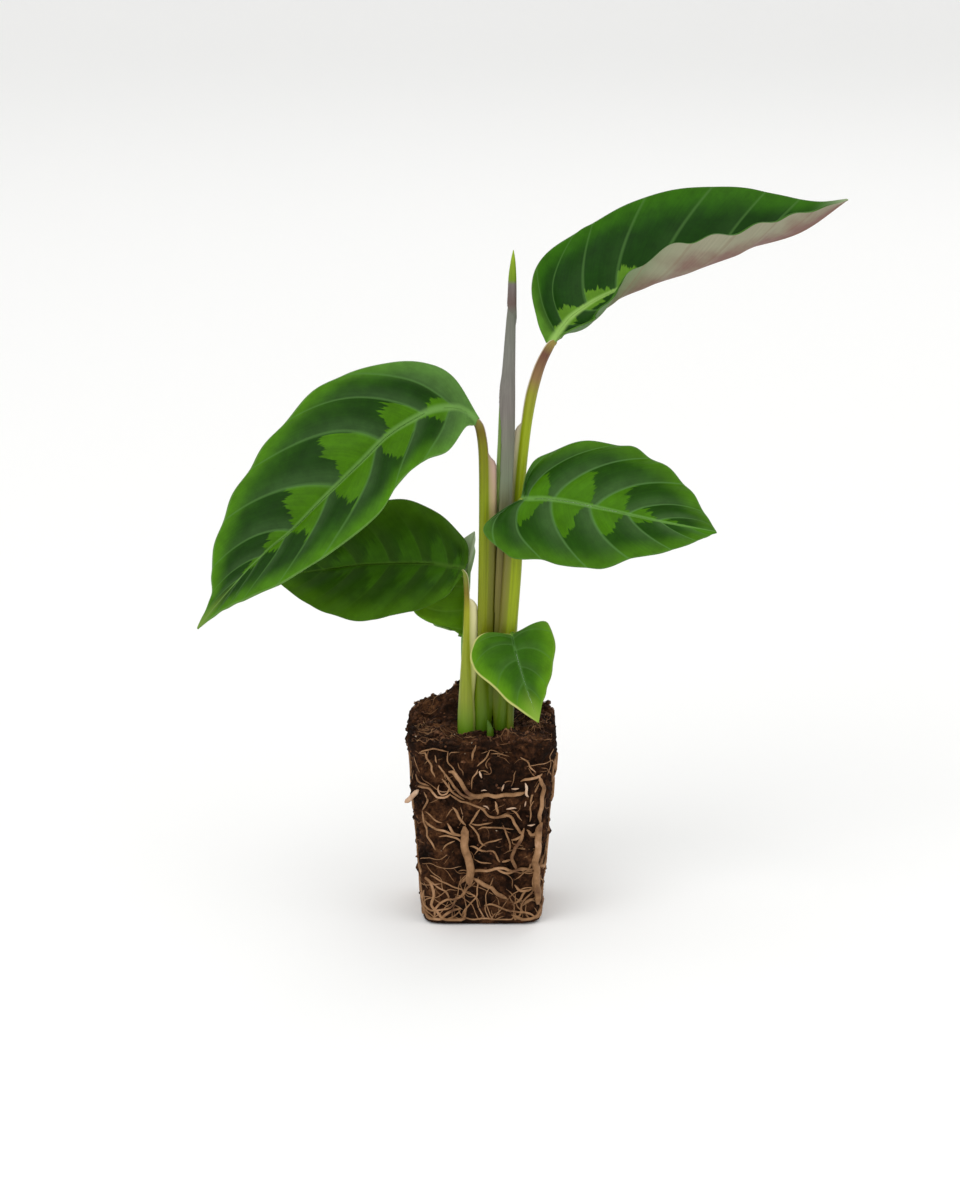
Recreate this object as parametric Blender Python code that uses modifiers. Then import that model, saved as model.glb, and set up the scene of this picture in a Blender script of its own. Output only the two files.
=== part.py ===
"""A young calathea with its bare root plug, standing on the plug's flat base.

The origin is the centre of that base, +Z is up, and the plant's front looks along -Y. All sizes below are in
millimetres, and MM turns them into Blender's metres when a mesh is finished.
"""

import math
import random

import bmesh
import bpy
import numpy as np
from mathutils import Vector, noise

MM = 0.001
GAP = 0.3  # clear space between neighbouring pieces
WELD = 1e-6  # points closer than this, in metres, become one

# The plug of peat: a tapered block with rounded corners
PLUG_HEIGHT = 39.0
PLUG_HALF_TOP = 14.9
PLUG_HALF_BASE = 11.9
PLUG_SQUARENESS = 7.0  # 2 is round, and higher numbers have tighter corners
PLUG_CUTS = 11
PIT_DEPTH = 0.5
PIT_SCALE = 0.28  # noise waves per millimetre
BASE_CHAMFER = 0.9
RIM_DROP = 0.9
RIM_TIGHTNESS = 10  # higher numbers keep the drop closer to the rim
# The peat's uneven top: depth and waves per millimetre of each layer of noise
TOP_NOISE = [(0.5, 0.35), (0.35, 0.9)]
# Lumps on the plug's top: x, y, height and radius
LUMPS = [
    (-4.0, 6.0, 6.8, 4.5),
    (13.0, 9.0, 1.6, 2.2),
    (-11.5, 8.0, 2.0, 3.5),
    (5.0, -10.2, 1.3, 1.8),
    (9.0, 3.0, 1.0, 3.0),
    (-8.5, -8.0, -0.8, 3.0),
]

# The socket that the stalks stand in
SOCKET_FLOOR = 31.0
SOCKET_SIDES = 30
SOCKET_REACH = 12.0

# The stalks: points along the middle from foot to leaf as x, y, z and radius
STALK_SIDES = 10
STALK_RINGS = 15
STALKS = {
    "stalk_1": [
        (0.1, -4.7, 31.3, 1.0),
        (0.1, -4.7, 40.0, 1.4),
        (0.0, -4.5, 50.0, 1.2),
        (0.0, -4.2, 60.0, 1.0),
        (0.3, -3.9, 74.0, 1.0),
        (0.4, -3.7, 86.0, 1.0),
        (0.3, -3.6, 95.0, 1.0),
        (-0.2, -3.65, 99.5, 0.95),
        (-1.4, -3.8, 102.9, 0.75),
    ],
    "stalk_2": [
        (5.3, -1.3, 31.3, 0.9),
        (5.3, -1.3, 40.0, 1.1),
        (5.8, -1.0, 56.0, 1.0),
        (6.6, -0.5, 74.0, 1.0),
        (7.4, -0.2, 88.0, 0.95),
        (8.5, -0.2, 98.5, 0.95),
        (9.5, -0.3, 105.5, 1.15),
        (10.6, -0.5, 110.0, 1.1),
        (11.7, -0.7, 113.2, 1.0),
        (13.45, -1.25, 116.85, 0.8),
    ],
    "stalk_3": [
        (4.3, -4.9, 31.3, 0.8),
        (4.3, -4.9, 40.0, 1.15),
        (5.4, -4.8, 56.0, 1.05),
        (6.5, -4.7, 73.0, 1.0),
        (7.1, -4.9, 81.0, 0.85),
        (7.5, -6.0, 86.1, 0.58),
    ],
    "stalk_4": [
        (-3.2, -5.6, 31.3, 1.0),
        (-3.2, -5.6, 40.0, 1.55),
        (-3.2, -5.0, 50.0, 1.1),
        (-3.1, -4.3, 57.0, 0.8),
        (-3.0, -3.7, 62.5, 0.65),
        (-3.0, -3.3, 66.0, 0.58),
        (-3.25, -3.0, 70.0, 0.55),
    ],
    "stalk_5": [
        (-3.4, -1.7, 31.3, 0.6),
        (-3.4, -1.7, 40.0, 0.75),
        (-3.6, -0.4, 50.0, 0.6),
        (-3.7, 0.85, 56.0, 0.5),
    ],
    "stalk_6": [
        (5.6, -7.2, 31.3, 0.55),
        (5.6, -7.2, 40.0, 0.7),
        (5.8, -6.9, 50.0, 0.6),
        (5.9, -6.8, 58.6, 0.5),
    ],
}
# A sheath stands out of its stalk as a thin wing: direction in degrees from +X towards +Y, the heights that it
# starts and ends at, and its width
SHEATHS = {
    "stalk_1": (-10.0, 44.0, 94.5, 1.3),
    "stalk_2": (190.0, 87.0, 99.0, 0.5),
    "stalk_4": (-20.0, 50.0, 66.0, 1.2),
}
SHEATH_START = 8.0  # height over which the wing grows
SHEATH_END = 1.2  # height over which it rounds off

SPEAR = [
    (2.6, -2.3, 31.3, 0.9),
    (2.6, -2.3, 40.0, 1.15),
    (3.0, -2.2, 56.0, 1.75),
    (3.6, -2.0, 73.0, 2.0),
    (4.2, -2.0, 88.0, 1.9),
    (4.7, -2.0, 97.0, 1.85),
    (5.0, -2.0, 106.0, 1.7),
    (5.25, -2.0, 112.0, 1.4),
    (5.55, -2.0, 118.0, 1.15),
    (5.85, -2.0, 125.0, 0.85),
    (5.95, -2.0, 130.0, 0.65),
    (6.1, -2.0, 135.4, 0.12),
]
SPEAR_RINGS = 20

BUD_PLACE = (1.6, -8.2)
BUD = [
    (0.0, 0.0, 31.3, 0.4),
    (0.0, 0.0, 38.0, 0.65),
    (0.0, 0.0, 39.5, 0.7),
    (-0.2, 0.0, 40.8, 0.5),
    (-0.5, 0.0, 42.0, 0.12),
]
BUD_RINGS = 7

# The blades. A rib is the line that a side vein takes, given by the left margin, the midrib and the right margin,
# as seen along the leaf from its stalk with the upper face up. Ribs run from the stalk to the tip.
BLADE_THICKNESS = 0.6
COLUMNS_PER_VEIN = 4
RIBS = {
    "leaf_1": [
        ((-2.0, -4.4, 103.0), (-1.9, -3.9, 103.9), (-2.3, -3.3, 105.2)),
        ((-3.2, -7.0, 101.3), (-4.8, -4.0, 104.5), (-5.5, -0.5, 109.9)),
        ((-6.6, -10.0, 97.3), (-9.2, -4.8, 104.4), (-11.2, 1.0, 112.4)),
        ((-11.1, -12.0, 95.8), (-13.2, -5.5, 102.7), (-18.5, 1.5, 112.5)),
        ((-16.1, -15.0, 92.1), (-18.6, -6.8, 99.4), (-27.6, 1.5, 110.2)),
        ((-20.1, -18.0, 86.4), (-23.7, -8.2, 94.5), (-36.3, 0.5, 104.0)),
        ((-29.4, -20.0, 79.3), (-30.6, -10.0, 88.1), (-45.4, -2.5, 93.0)),
        ((-38.7, -21.0, 73.6), (-36.7, -12.0, 82.2), (-50.6, -6.5, 83.9)),
        ((-45.6, -20.5, 70.3), (-41.9, -13.5, 78.1), (-53.0, -10.5, 75.3)),
        ((-50.6, -19.0, 67.5), (-47.9, -15.5, 72.3), (-53.0, -14.0, 69.3)),
        ((-55.6, -18.0, 63.6), (-55.6, -18.0, 63.6), (-55.6, -18.0, 63.6)),
    ],
    "leaf_2": [
        ((13.7, -1.3, 117.3), (13.7, -1.3, 117.3), (13.7, -1.3, 117.3)),
        ((10.9, 0.3, 121.0), (14.8, -1.2, 118.9), (17.2, -3.9, 119.7)),
        ((9.9, 2.5, 128.1), (16.2, -1.4, 120.9), (20.5, -7.0, 122.4)),
        ((12.5, 4.5, 133.5), (17.9, -1.8, 122.7), (23.0, -8.5, 125.1)),
        ((21.2, 6.0, 139.2), (22.2, -2.3, 125.7), (29.0, -11.0, 132.9)),
        ((32.1, 7.0, 144.5), (28.6, -2.8, 128.8), (36.6, -13.5, 138.2)),
        ((42.7, 6.5, 146.5), (35.6, -3.2, 131.5), (43.2, -14.0, 139.8)),
        ((51.9, 4.5, 146.5), (43.4, -3.6, 134.2), (50.3, -13.0, 141.3)),
        ((59.1, 1.5, 145.4), (51.6, -4.0, 136.7), (56.9, -11.0, 143.1)),
        ((65.2, -2.0, 144.9), (61.5, -4.6, 139.7), (63.9, -8.5, 144.4)),
        ((70.5, -5.0, 145.9), (70.5, -5.0, 145.9), (70.5, -5.0, 145.9)),
    ],
    "leaf_3": [
        ((7.6, -6.6, 86.9), (7.6, -6.6, 86.9), (7.6, -6.6, 86.9)),
        ((8.7, -4.8, 91.0), (8.6, -7.0, 87.0), (0.4, -9.2, 81.6)),
        ((10.9, -3.4, 94.4), (9.9, -7.4, 87.1), (5.0, -11.0, 76.6)),
        ((15.3, -3.5, 96.5), (12.1, -8.4, 87.4), (10.6, -13.0, 76.2)),
        ((21.6, -5.0, 98.1), (15.6, -10.0, 87.4), (15.8, -15.5, 75.8)),
        ((28.6, -7.0, 97.6), (20.3, -12.2, 87.0), (22.5, -18.0, 75.6)),
        ((34.7, -10.0, 95.0), (25.5, -14.6, 86.4), (29.2, -20.0, 78.2)),
        ((39.8, -13.5, 91.2), (31.2, -17.2, 85.7), (36.1, -21.5, 80.1)),
        ((42.7, -18.0, 87.4), (37.0, -20.0, 85.1), (41.0, -22.5, 82.2)),
        ((45.1, -23.5, 84.3), (45.1, -23.5, 84.3), (45.1, -23.5, 84.3)),
    ],
    "leaf_4": [
        ((-3.9, -3.3, 70.6), (-3.5, -2.5, 71.6), (-2.8, -1.5, 72.8)),
        ((-5.2, -4.5, 68.9), (-4.5, -2.1, 71.8), (-2.7, 1.0, 75.3)),
        ((-7.9, -5.0, 66.1), (-6.0, -1.4, 71.8), (-4.4, 3.0, 77.6)),
        ((-12.7, -4.0, 63.6), (-9.2, 0.0, 72.0), (-8.4, 5.0, 81.0)),
        ((-18.2, -2.5, 62.0), (-13.6, 2.0, 71.7), (-14.0, 7.0, 83.3)),
        ((-24.0, -1.0, 60.4), (-18.9, 4.0, 71.1), (-20.1, 8.5, 83.1)),
        ((-30.1, 1.0, 61.2), (-24.5, 5.5, 70.4), (-27.0, 9.5, 81.2)),
        ((-35.0, 3.0, 62.9), (-30.2, 6.8, 69.3), (-33.7, 10.0, 77.2)),
        ((-38.9, 5.5, 65.0), (-35.9, 7.6, 68.3), (-39.2, 9.5, 72.1)),
        ((-42.4, 8.0, 67.3), (-42.4, 8.0, 67.3), (-42.4, 8.0, 67.3)),
    ],
    "leaf_5": [
        ((-3.7, 1.0, 56.5), (-3.7, 1.0, 56.5), (-3.7, 1.0, 56.5)),
        ((-6.4, 0.8, 58.4), (-3.6, 1.2, 58.0), (-3.2, 4.5, 57.6)),
        ((-11.5, 1.6, 59.9), (-3.5, 1.8, 61.2), (-2.9, 7.5, 60.9)),
        ((-14.1, 2.8, 62.8), (-3.4, 2.4, 64.4), (-2.7, 9.0, 64.1)),
        ((-12.7, 4.2, 67.8), (-3.1, 2.8, 67.8), (-2.6, 8.8, 67.9)),
        ((-8.4, 5.0, 72.4), (-2.7, 3.0, 71.5), (-1.7, 7.0, 72.1)),
        ((-4.6, 4.6, 75.4), (-2.2, 3.1, 74.7), (-1.5, 5.0, 75.1)),
        ((-1.5, 3.2, 78.0), (-1.5, 3.2, 78.0), (-1.5, 3.2, 78.0)),
    ],
    "leaf_6": [
        ((5.9, -7.6, 59.6), (5.9, -7.6, 59.6), (5.9, -7.6, 59.6)),
        ((11.7, -7.4, 62.2), (6.1, -8.1, 58.6), (0.8, -8.1, 60.0)),
        ((13.8, -7.6, 60.6), (6.4, -8.7, 57.3), (-1.9, -8.6, 57.7)),
        ((14.5, -8.0, 56.9), (6.9, -9.4, 55.6), (-1.9, -9.4, 53.3)),
        ((13.9, -8.8, 52.4), (7.7, -10.2, 53.0), (1.5, -10.4, 50.2)),
        ((12.8, -10.0, 48.6), (8.7, -10.9, 49.7), (5.1, -11.3, 46.8)),
        ((11.8, -11.0, 45.6), (9.9, -11.4, 46.3), (8.3, -11.8, 44.5)),
        ((11.2, -11.8, 42.5), (11.2, -11.8, 42.5), (11.2, -11.8, 42.5)),
    ],
}
# Veins on each side, cells across each half, rise of the ridges between veins, and how far the left and right
# halves arch over, as shares of their width
BLADES = {
    "leaf_1": {"veins": 7, "cells": 4, "ridge": 0.7, "arch": (0.06, 0.08)},
    "leaf_2": {"veins": 7, "cells": 4, "ridge": 0.6, "arch": (-0.06, -0.20)},
    "leaf_3": {"veins": 7, "cells": 4, "ridge": 0.7, "arch": (0.06, 0.06)},
    "leaf_4": {"veins": 6, "cells": 4, "ridge": 0.5, "arch": (0.08, 0.08)},
    "leaf_5": {"veins": 3, "cells": 3, "ridge": 0.3, "arch": (0.05, 0.05)},
    "leaf_6": {"veins": 4, "cells": 3, "ridge": 0.3, "arch": (0.05, 0.05)},
}
VEIN_BOW = 0.10  # how far a side vein bows towards the stalk, as a share of its length
SCALLOP = 0.035  # how far the margin swells between two veins, as a share of the half's width

# The roots that show at the front: points as x and z on the plug's face, and the root's radius
ROOT_BEVEL_RESOLUTION = 0
ROOT_END = 0.55  # a root's ends are this much of its radius
FRONT_ROOTS = [
    (0.62, [(-7.5, 33.5), (-6.0, 32.6), (-4.6, 30.2), (-3.0, 28.6), (2.4, 28.2), (6.6, 28.9), (9.2, 31.0), (12.0, 32.6)]),
    (0.50, [(-8.0, 32.0), (-6.2, 29.6), (-4.2, 27.6), (0.0, 25.8), (1.8, 24.0), (5.2, 23.4), (6.9, 21.4), (6.0, 19.0)]),
    (0.45, [(-13.8, 32.2), (-10.4, 29.6), (-8.6, 27.8), (-6.4, 28.6), (-3.4, 28.8)]),
    (0.40, [(-12.6, 36.0), (-10.6, 34.0), (-9.4, 31.0), (-8.4, 28.4), (-7.8, 25.0)]),
    (0.38, [(-9.4, 36.8), (-8.8, 34.2), (-7.2, 31.4)]),
    (0.42, [(-13.4, 24.4), (-10.6, 23.8), (-8.0, 22.6), (-5.2, 22.4), (-3.2, 21.8)]),
    (0.95, [(-6.6, 24.6), (-4.4, 22.2), (-3.2, 19.4), (-2.8, 15.0), (-2.2, 10.0), (-2.6, 5.0)]),
    (0.40, [(-11.8, 26.8), (-10.2, 24.6), (-8.0, 21.8), (-6.0, 16.0), (-7.0, 10.0)]),
    (0.48, [(-5.0, 25.8), (-3.0, 22.8), (-1.0, 20.6), (0.4, 17.6), (3.0, 15.4), (6.4, 13.4), (6.2, 8.0)]),
    (0.42, [(-2.0, 22.6), (1.4, 22.2), (4.8, 22.0), (9.0, 21.8), (12.2, 21.0)]),
    (0.45, [(3.0, 28.0), (3.2, 25.2), (5.0, 23.0), (5.4, 20.0), (7.6, 16.0), (6.2, 12.2)]),
    (0.40, [(6.6, 24.8), (8.4, 22.4), (8.2, 19.2), (6.4, 16.0), (5.8, 12.6), (7.0, 7.0)]),
    (0.55, [(12.2, 32.4), (13.0, 28.0), (12.2, 22.0), (11.4, 16.0), (10.6, 9.0), (9.8, 4.0)]),
    (0.45, [(8.6, 20.4), (11.0, 18.6), (13.2, 19.4)]),
    (0.42, [(6.4, 6.4), (8.2, 4.6), (11.0, 4.8)]),
    (0.45, [(-10.6, 12.0), (-7.0, 9.6), (-2.6, 8.4), (2.0, 6.0), (6.4, 7.2)]),
    (0.42, [(-10.2, 5.0), (-5.6, 3.6), (-2.4, 5.6), (2.0, 3.6), (8.0, 4.6)]),
]
# Two roots run round the other sides: points as degrees from the front towards the right, and z
SIDE_ROOTS = [
    (0.50, [(39, 32.4), (62, 30.5), (95, 33), (125, 27), (160, 30), (195, 33), (230, 28), (262, 31), (295, 29), (317, 32.2)]),
    (0.45, [(41, 15), (70, 11), (100, 16), (135, 12), (165, 18), (200, 13), (235, 10), (270, 15), (300, 13), (324, 12)]),
]
# Branches grow from the side roots by a seeded rule
ROOT_SEED = 7
BRANCHES = 24
BRANCH_POINTS = 6
BRANCH_STEP = 3.2
BRANCH_RADII = (0.36, 0.4, 0.45)
BRANCH_TURN = 0.6  # largest turn at a point, in radians
ROOT_STEP = 2.6  # length of a straight piece of root
ROOT_LOWEST = 1.6
ROOT_HIGHEST = 35.5
ROOT_CLEARANCE = 0.4
ROOT_LIFT = 0.25  # roots lie at slightly different depths

COLOURS = {
    "soil_plug": (0.035, 0.018, 0.010),
    "root_net": (0.36, 0.22, 0.11),
    "stalk": (0.17, 0.20, 0.012),
    "leaf": (0.045, 0.14, 0.012),
    "spear_leaf": (0.13, 0.12, 0.10),
    "bud": (0.10, 0.22, 0.02),
}


def smooth(rows, places):
    """Reads a smooth curve through rows, which stand at 0, 1, 2 and so on, at each of the places."""
    rows = np.asarray(rows, float)
    places = np.asarray(places, float)
    slopes = np.gradient(rows, axis=0)
    first = np.clip(places.astype(int), 0, len(rows) - 2)
    t = (places - first).reshape((-1,) + (1,) * (rows.ndim - 1))
    start, end = rows[first], rows[first + 1]
    lead, trail = slopes[first], slopes[first + 1]
    return (
        (2 * t**3 - 3 * t**2 + 1) * start
        + (t**3 - 2 * t**2 + t) * lead
        + (3 * t**2 - 2 * t**3) * end
        + (t**3 - t**2) * trail
    )


def unit(vectors):
    return vectors / np.maximum(np.linalg.norm(vectors, axis=-1, keepdims=True), 1e-9)


def material(kind):
    """The plain finish of one kind of piece."""
    name = kind.replace("_", " ")
    found = bpy.data.materials.get(name)
    if found:
        return found
    made = bpy.data.materials.new(name)
    made.use_nodes = True
    made.diffuse_color = (*COLOURS[kind], 1)
    shader = made.node_tree.nodes["Principled BSDF"]
    shader.inputs["Base Color"].default_value = (*COLOURS[kind], 1)
    shader.inputs["Roughness"].default_value = 0.9 if kind in ("soil_plug", "root_net") else 0.45
    shader.inputs["Metallic"].default_value = 0.0
    return made


def finish(bm, name, kind, collection):
    """Makes an object of a bmesh that is in millimetres."""
    bmesh.ops.recalc_face_normals(bm, faces=bm.faces)
    bmesh.ops.scale(bm, vec=(MM, MM, MM), verts=bm.verts)
    mesh = bpy.data.meshes.new(name)
    bm.to_mesh(mesh)
    bm.free()
    mesh.shade_smooth()
    mesh.materials.append(material(kind))
    made = bpy.data.objects.new(name, mesh)
    collection.objects.link(made)
    return made


def plug_half(z):
    """Half the plug's width at a height."""
    return PLUG_HALF_BASE + (PLUG_HALF_TOP - PLUG_HALF_BASE) * min(z / PLUG_HEIGHT, 1.0)


def plug_side(angle, z, out=0.0):
    """A point on the plug's side, or out from it. The angle is in radians from -Y towards +X."""
    n = PLUG_SQUARENESS
    across, deep = math.sin(angle), -math.cos(angle)
    reach = plug_half(z) / (abs(across) ** n + abs(deep) ** n) ** (1 / n)
    x, y = reach * across, reach * deep
    outward = Vector((math.copysign(abs(x) ** (n - 1), x), math.copysign(abs(y) ** (n - 1), y), 0)).normalized()
    return Vector((x, y, z)) + outward * out


def soil_top(x, y):
    """Height of the peat at a place on the plug's top."""
    height = PLUG_HEIGHT
    for lump_x, lump_y, rise, radius in LUMPS:
        height += rise * math.exp(-((x - lump_x) ** 2 + (y - lump_y) ** 2) / radius**2)
    for depth, waves in TOP_NOISE:
        height += depth * noise.noise(Vector((x, y, 10 * waves)) * waves)
    return height


def soil_block():
    """The plug without its socket: a cube whose faces are cut finely and moved to the plug's form."""
    bm = bmesh.new()
    bmesh.ops.create_cube(bm, size=2)
    bmesh.ops.subdivide_edges(bm, edges=bm.edges, cuts=PLUG_CUTS, use_grid_fill=True)
    for vert in bm.verts:
        across, deep, up = vert.co
        spread = max(abs(across), abs(deep))
        angle = math.atan2(across, -deep)
        height = (up + 1) / 2
        side = plug_side(angle, PLUG_HEIGHT * height)
        x, y = side.x * spread, side.y * spread
        top = soil_top(x, y)
        if math.isclose(height, 1):
            vert.co = (x, y, top - RIM_DROP * spread**RIM_TIGHTNESS)
        elif math.isclose(height, 0, abs_tol=1e-6):
            shrink = 1 - BASE_CHAMFER / PLUG_HALF_BASE if math.isclose(spread, 1) else 1
            vert.co = (x * shrink, y * shrink, 0)
        else:
            pit = PIT_DEPTH * max(0.0, 0.5 + noise.noise(side * PIT_SCALE))
            vert.co = plug_side(angle, top * height, -pit)
    return bm


def socket_cutter():
    """A straight well whose outline runs round the feet of the stalks and of the bud."""
    feet = [path[1] for path in STALKS.values()] + [SPEAR[1], (*BUD_PLACE, 0, BUD[1][3])]
    bm = bmesh.new()
    made = bmesh.ops.create_circle(bm, cap_ends=True, segments=SOCKET_SIDES, radius=1)
    for vert in made["verts"]:
        direction = Vector((vert.co.x, vert.co.y)).normalized()
        edges = [Vector((x, y)) + direction * (radius + 1.5 * GAP) for x, y, z, radius in feet]
        furthest = max(edges, key=direction.dot)
        vert.co = (*furthest, SOCKET_FLOOR)
    bmesh.ops.remove_doubles(bm, verts=bm.verts, dist=0.01)
    lifted = bmesh.ops.extrude_face_region(bm, geom=bm.faces[:])["geom"]
    moved = [item for item in lifted if isinstance(item, bmesh.types.BMVert)]
    bmesh.ops.translate(bm, vec=(0, 0, SOCKET_REACH), verts=moved)
    return bm


def cut(target, cutter):
    """Takes the cutter out of the target for good and removes the cutter."""
    modifier = target.modifiers.new("socket", "BOOLEAN")
    modifier.operation = "DIFFERENCE"
    modifier.solver = "EXACT"
    modifier.object = cutter
    apply_modifiers(target)
    bpy.data.objects.remove(cutter, do_unlink=True)


def apply_modifiers(target):
    """Keeps the object's mesh as its modifiers leave it."""
    graph = bpy.context.evaluated_depsgraph_get()
    graph.update()
    done = bpy.data.meshes.new_from_object(target.evaluated_get(graph))
    target.modifiers.clear()
    target.data = done


def soil_plug(collection, cutters):
    plug = finish(soil_block(), "soil_plug", "soil_plug", collection)
    cut(plug, finish(socket_cutter(), "socket cutter", "soil_plug", cutters))
    return plug


def ring_axes(tangent):
    """Two directions across a stalk: the first near +X, the second near +Y."""
    back = Vector((0, 1, 0))
    second = (back - back.dot(tangent) * tangent).normalized()
    return second.cross(tangent), second


def sheath_width(z, start, end, width):
    return width * min(max((z - start) / SHEATH_START, 0), max((end - z) / SHEATH_END, 0), 1)


def loft(path, rings, sheath=None):
    """A closed round body along a path of x, y, z and radius, with a sheath's wing if it has one."""
    places = np.linspace(0, len(path) - 1, rings)
    rows = smooth(path, places)
    tangents = unit(np.gradient(rows[:, :3], axis=0))
    bm = bmesh.new()
    ring = bmesh.ops.create_circle(bm, cap_ends=True, segments=STALK_SIDES, radius=1)["verts"]
    for number in range(rings):
        if number:
            edges = {edge for vert in ring for edge in vert.link_edges if edge.other_vert(vert) in ring}
            grown = bmesh.ops.extrude_edge_only(bm, edges=list(edges))["geom"]
            new = [item for item in grown if isinstance(item, bmesh.types.BMVert)]
            partner = {}
            for vert in new:
                below = next(edge.other_vert(vert) for edge in vert.link_edges if edge.other_vert(vert) in ring)
                partner[below] = vert
            ring = [partner[vert] for vert in ring]
        first, second = ring_axes(Vector(tangents[number]))
        turn = math.radians(sheath[0]) if sheath else 0.0
        for side, vert in enumerate(ring):
            angle = turn + math.tau * side / STALK_SIDES
            radius = rows[number, 3]
            if sheath and side == 0:
                radius += sheath_width(rows[number, 2], *sheath[1:])
            across = first * math.cos(angle) + second * math.sin(angle)
            vert.co = Vector(rows[number, :3]) + across * radius
    bmesh.ops.contextual_create(bm, geom=ring)
    return bm


def blade_grid(ribs, veins, cells, ridge, arch):
    """Points of a blade's middle surface, [column][row], from the stalk to the tip and from left to right."""
    columns = veins * COLUMNS_PER_VEIN
    places = np.append(0, np.linspace(1, len(ribs) - 1, columns))
    left, middle, right = np.moveaxis(smooth(ribs, places), 1, 0)
    forward = unit(np.gradient(middle, axis=0))
    share = np.linspace(0, 1, columns + 1)
    swell = -0.5 * np.cos(math.tau * veins * share)
    fade = np.minimum(1, 4 * (1 - share)) * np.minimum(1, 6 * share)
    swell, fade = swell[:, None], fade[:, None]
    halves = []
    for margin, bend, sign in ((left, arch[0], -1), (right, arch[1], 1)):
        reach = margin - middle
        width = np.linalg.norm(reach, axis=1, keepdims=True)
        upward = unit(np.cross(reach * sign, forward))
        rows = []
        for row in range(cells + 1):
            v = row / cells
            dome = 4 * v * (1 - v) * width * fade
            crest = ridge * fade * swell * min(1.0, 3 * v)
            out = v * (1 + SCALLOP * fade * swell * v)
            rows.append(middle + reach * out + upward * (bend * dome + crest) - forward * VEIN_BOW * dome)
        halves.append(rows)
    return np.stack(halves[0][::-1] + halves[1][1:], axis=1)


def blade(name, collection):
    """One leaf's blade: a grid moved to its middle surface, split into triangles and given its thickness."""
    points = blade_grid(RIBS[name], **BLADES[name])
    columns, rows = points.shape[0] - 1, points.shape[1] - 1
    bm = bmesh.new()
    bmesh.ops.create_grid(bm, x_segments=columns, y_segments=rows, size=1)
    for vert in bm.verts:
        column = round((vert.co.x + 1) / 2 * columns)
        row = round((vert.co.y + 1) / 2 * rows)
        vert.co = points[column, row]
    bmesh.ops.remove_doubles(bm, verts=bm.verts, dist=0.01)
    bmesh.ops.triangulate(bm, faces=bm.faces)
    made = finish(bm, name, "leaf", collection)
    thick = made.modifiers.new("thickness", "SOLIDIFY")
    thick.thickness = BLADE_THICKNESS * MM
    thick.offset = 0
    return made


def root_tube(name, radius, line, collection):
    """One root as a thin tube along points that are already on the plug."""
    curve = bpy.data.curves.new(name, "CURVE")
    curve.dimensions = "3D"
    curve.bevel_depth = radius * MM
    curve.bevel_resolution = ROOT_BEVEL_RESOLUTION
    curve.use_fill_caps = True
    spline = curve.splines.new("POLY")
    spline.points.add(len(line) - 1)
    for number, (point, place) in enumerate(zip(spline.points, line)):
        point.co = (*(Vector(place) * MM), 1)
        point.radius = ROOT_END if number in (0, len(line) - 1) else 1.0
    drawn = bpy.data.objects.new(name, curve)
    collection.objects.link(drawn)
    graph = bpy.context.evaluated_depsgraph_get()
    graph.update()
    mesh = bpy.data.meshes.new_from_object(drawn.evaluated_get(graph))
    bm = bmesh.new()
    bm.from_mesh(mesh)
    bmesh.ops.remove_doubles(bm, verts=bm.verts, dist=WELD)
    bm.to_mesh(mesh)
    bm.free()
    solid = bpy.data.objects.new(name, mesh)
    solid.matrix_world = drawn.matrix_world
    collection.objects.link(solid)
    bpy.data.objects.remove(drawn, do_unlink=True)
    return solid


def laid_root(radius, corners, lift):
    """Points of a root that lies on the plug along corners of angle and height."""
    fine = smooth(corners, np.linspace(0, len(corners) - 1, 8 * len(corners)))
    line = [plug_side(angle, max(z, ROOT_LOWEST), ROOT_CLEARANCE + radius + lift) for angle, z in fine]
    kept = [line[0]]
    for place in line[1:-1]:
        if (place - kept[-1]).length > ROOT_STEP:
            kept.append(place)
    return kept + [line[-1]]


def front_angle(x, z):
    """The angle round the plug of a place on its front face."""
    return math.atan2(x, plug_half(z))


def root_lines():
    """Radius and points of every root: the ones seen at the front, those at the sides, and the side's branches."""
    draw = random.Random(ROOT_SEED)
    routes = [(radius, [(front_angle(x, z), z) for x, z in corners]) for radius, corners in FRONT_ROOTS]
    around = [(radius, [(math.radians(angle), z) for angle, z in corners]) for radius, corners in SIDE_ROOTS]
    starts = [corner for radius, corners in around for corner in corners]
    for number in range(BRANCHES):
        angle, z = starts[number % len(starts)] if number < len(starts) else draw.choice(starts)
        heading = draw.uniform(0, math.tau)
        corners = []
        for _ in range(BRANCH_POINTS):
            corners.append((angle, min(max(z, ROOT_LOWEST), ROOT_HIGHEST)))
            heading += draw.uniform(-BRANCH_TURN, BRANCH_TURN)
            angle += BRANCH_STEP / PLUG_HALF_TOP * math.cos(heading)
            z += BRANCH_STEP * math.sin(heading)
        around.append((draw.choice(BRANCH_RADII), corners))
        starts.append(corners[-1])
    return [(radius, laid_root(radius, corners, draw.uniform(0, ROOT_LIFT))) for radius, corners in routes + around]


def largest_body(target):
    """Drops what the union left loose, so that one body stays."""
    bm = bmesh.new()
    bm.from_mesh(target.data)
    bmesh.ops.remove_doubles(bm, verts=bm.verts, dist=WELD)
    left = set(bm.verts)
    bodies = []
    while left:
        body, edge = set(), [left.pop()]
        while edge:
            vert = edge.pop()
            body.add(vert)
            for link in vert.link_edges:
                other = link.other_vert(vert)
                if other in left:
                    left.remove(other)
                    edge.append(other)
        bodies.append(body)
    keep = max(bodies, key=len)
    bmesh.ops.delete(bm, geom=[vert for body in bodies if body is not keep for vert in body], context="VERTS")
    bm.to_mesh(target.data)
    bm.free()


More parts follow.
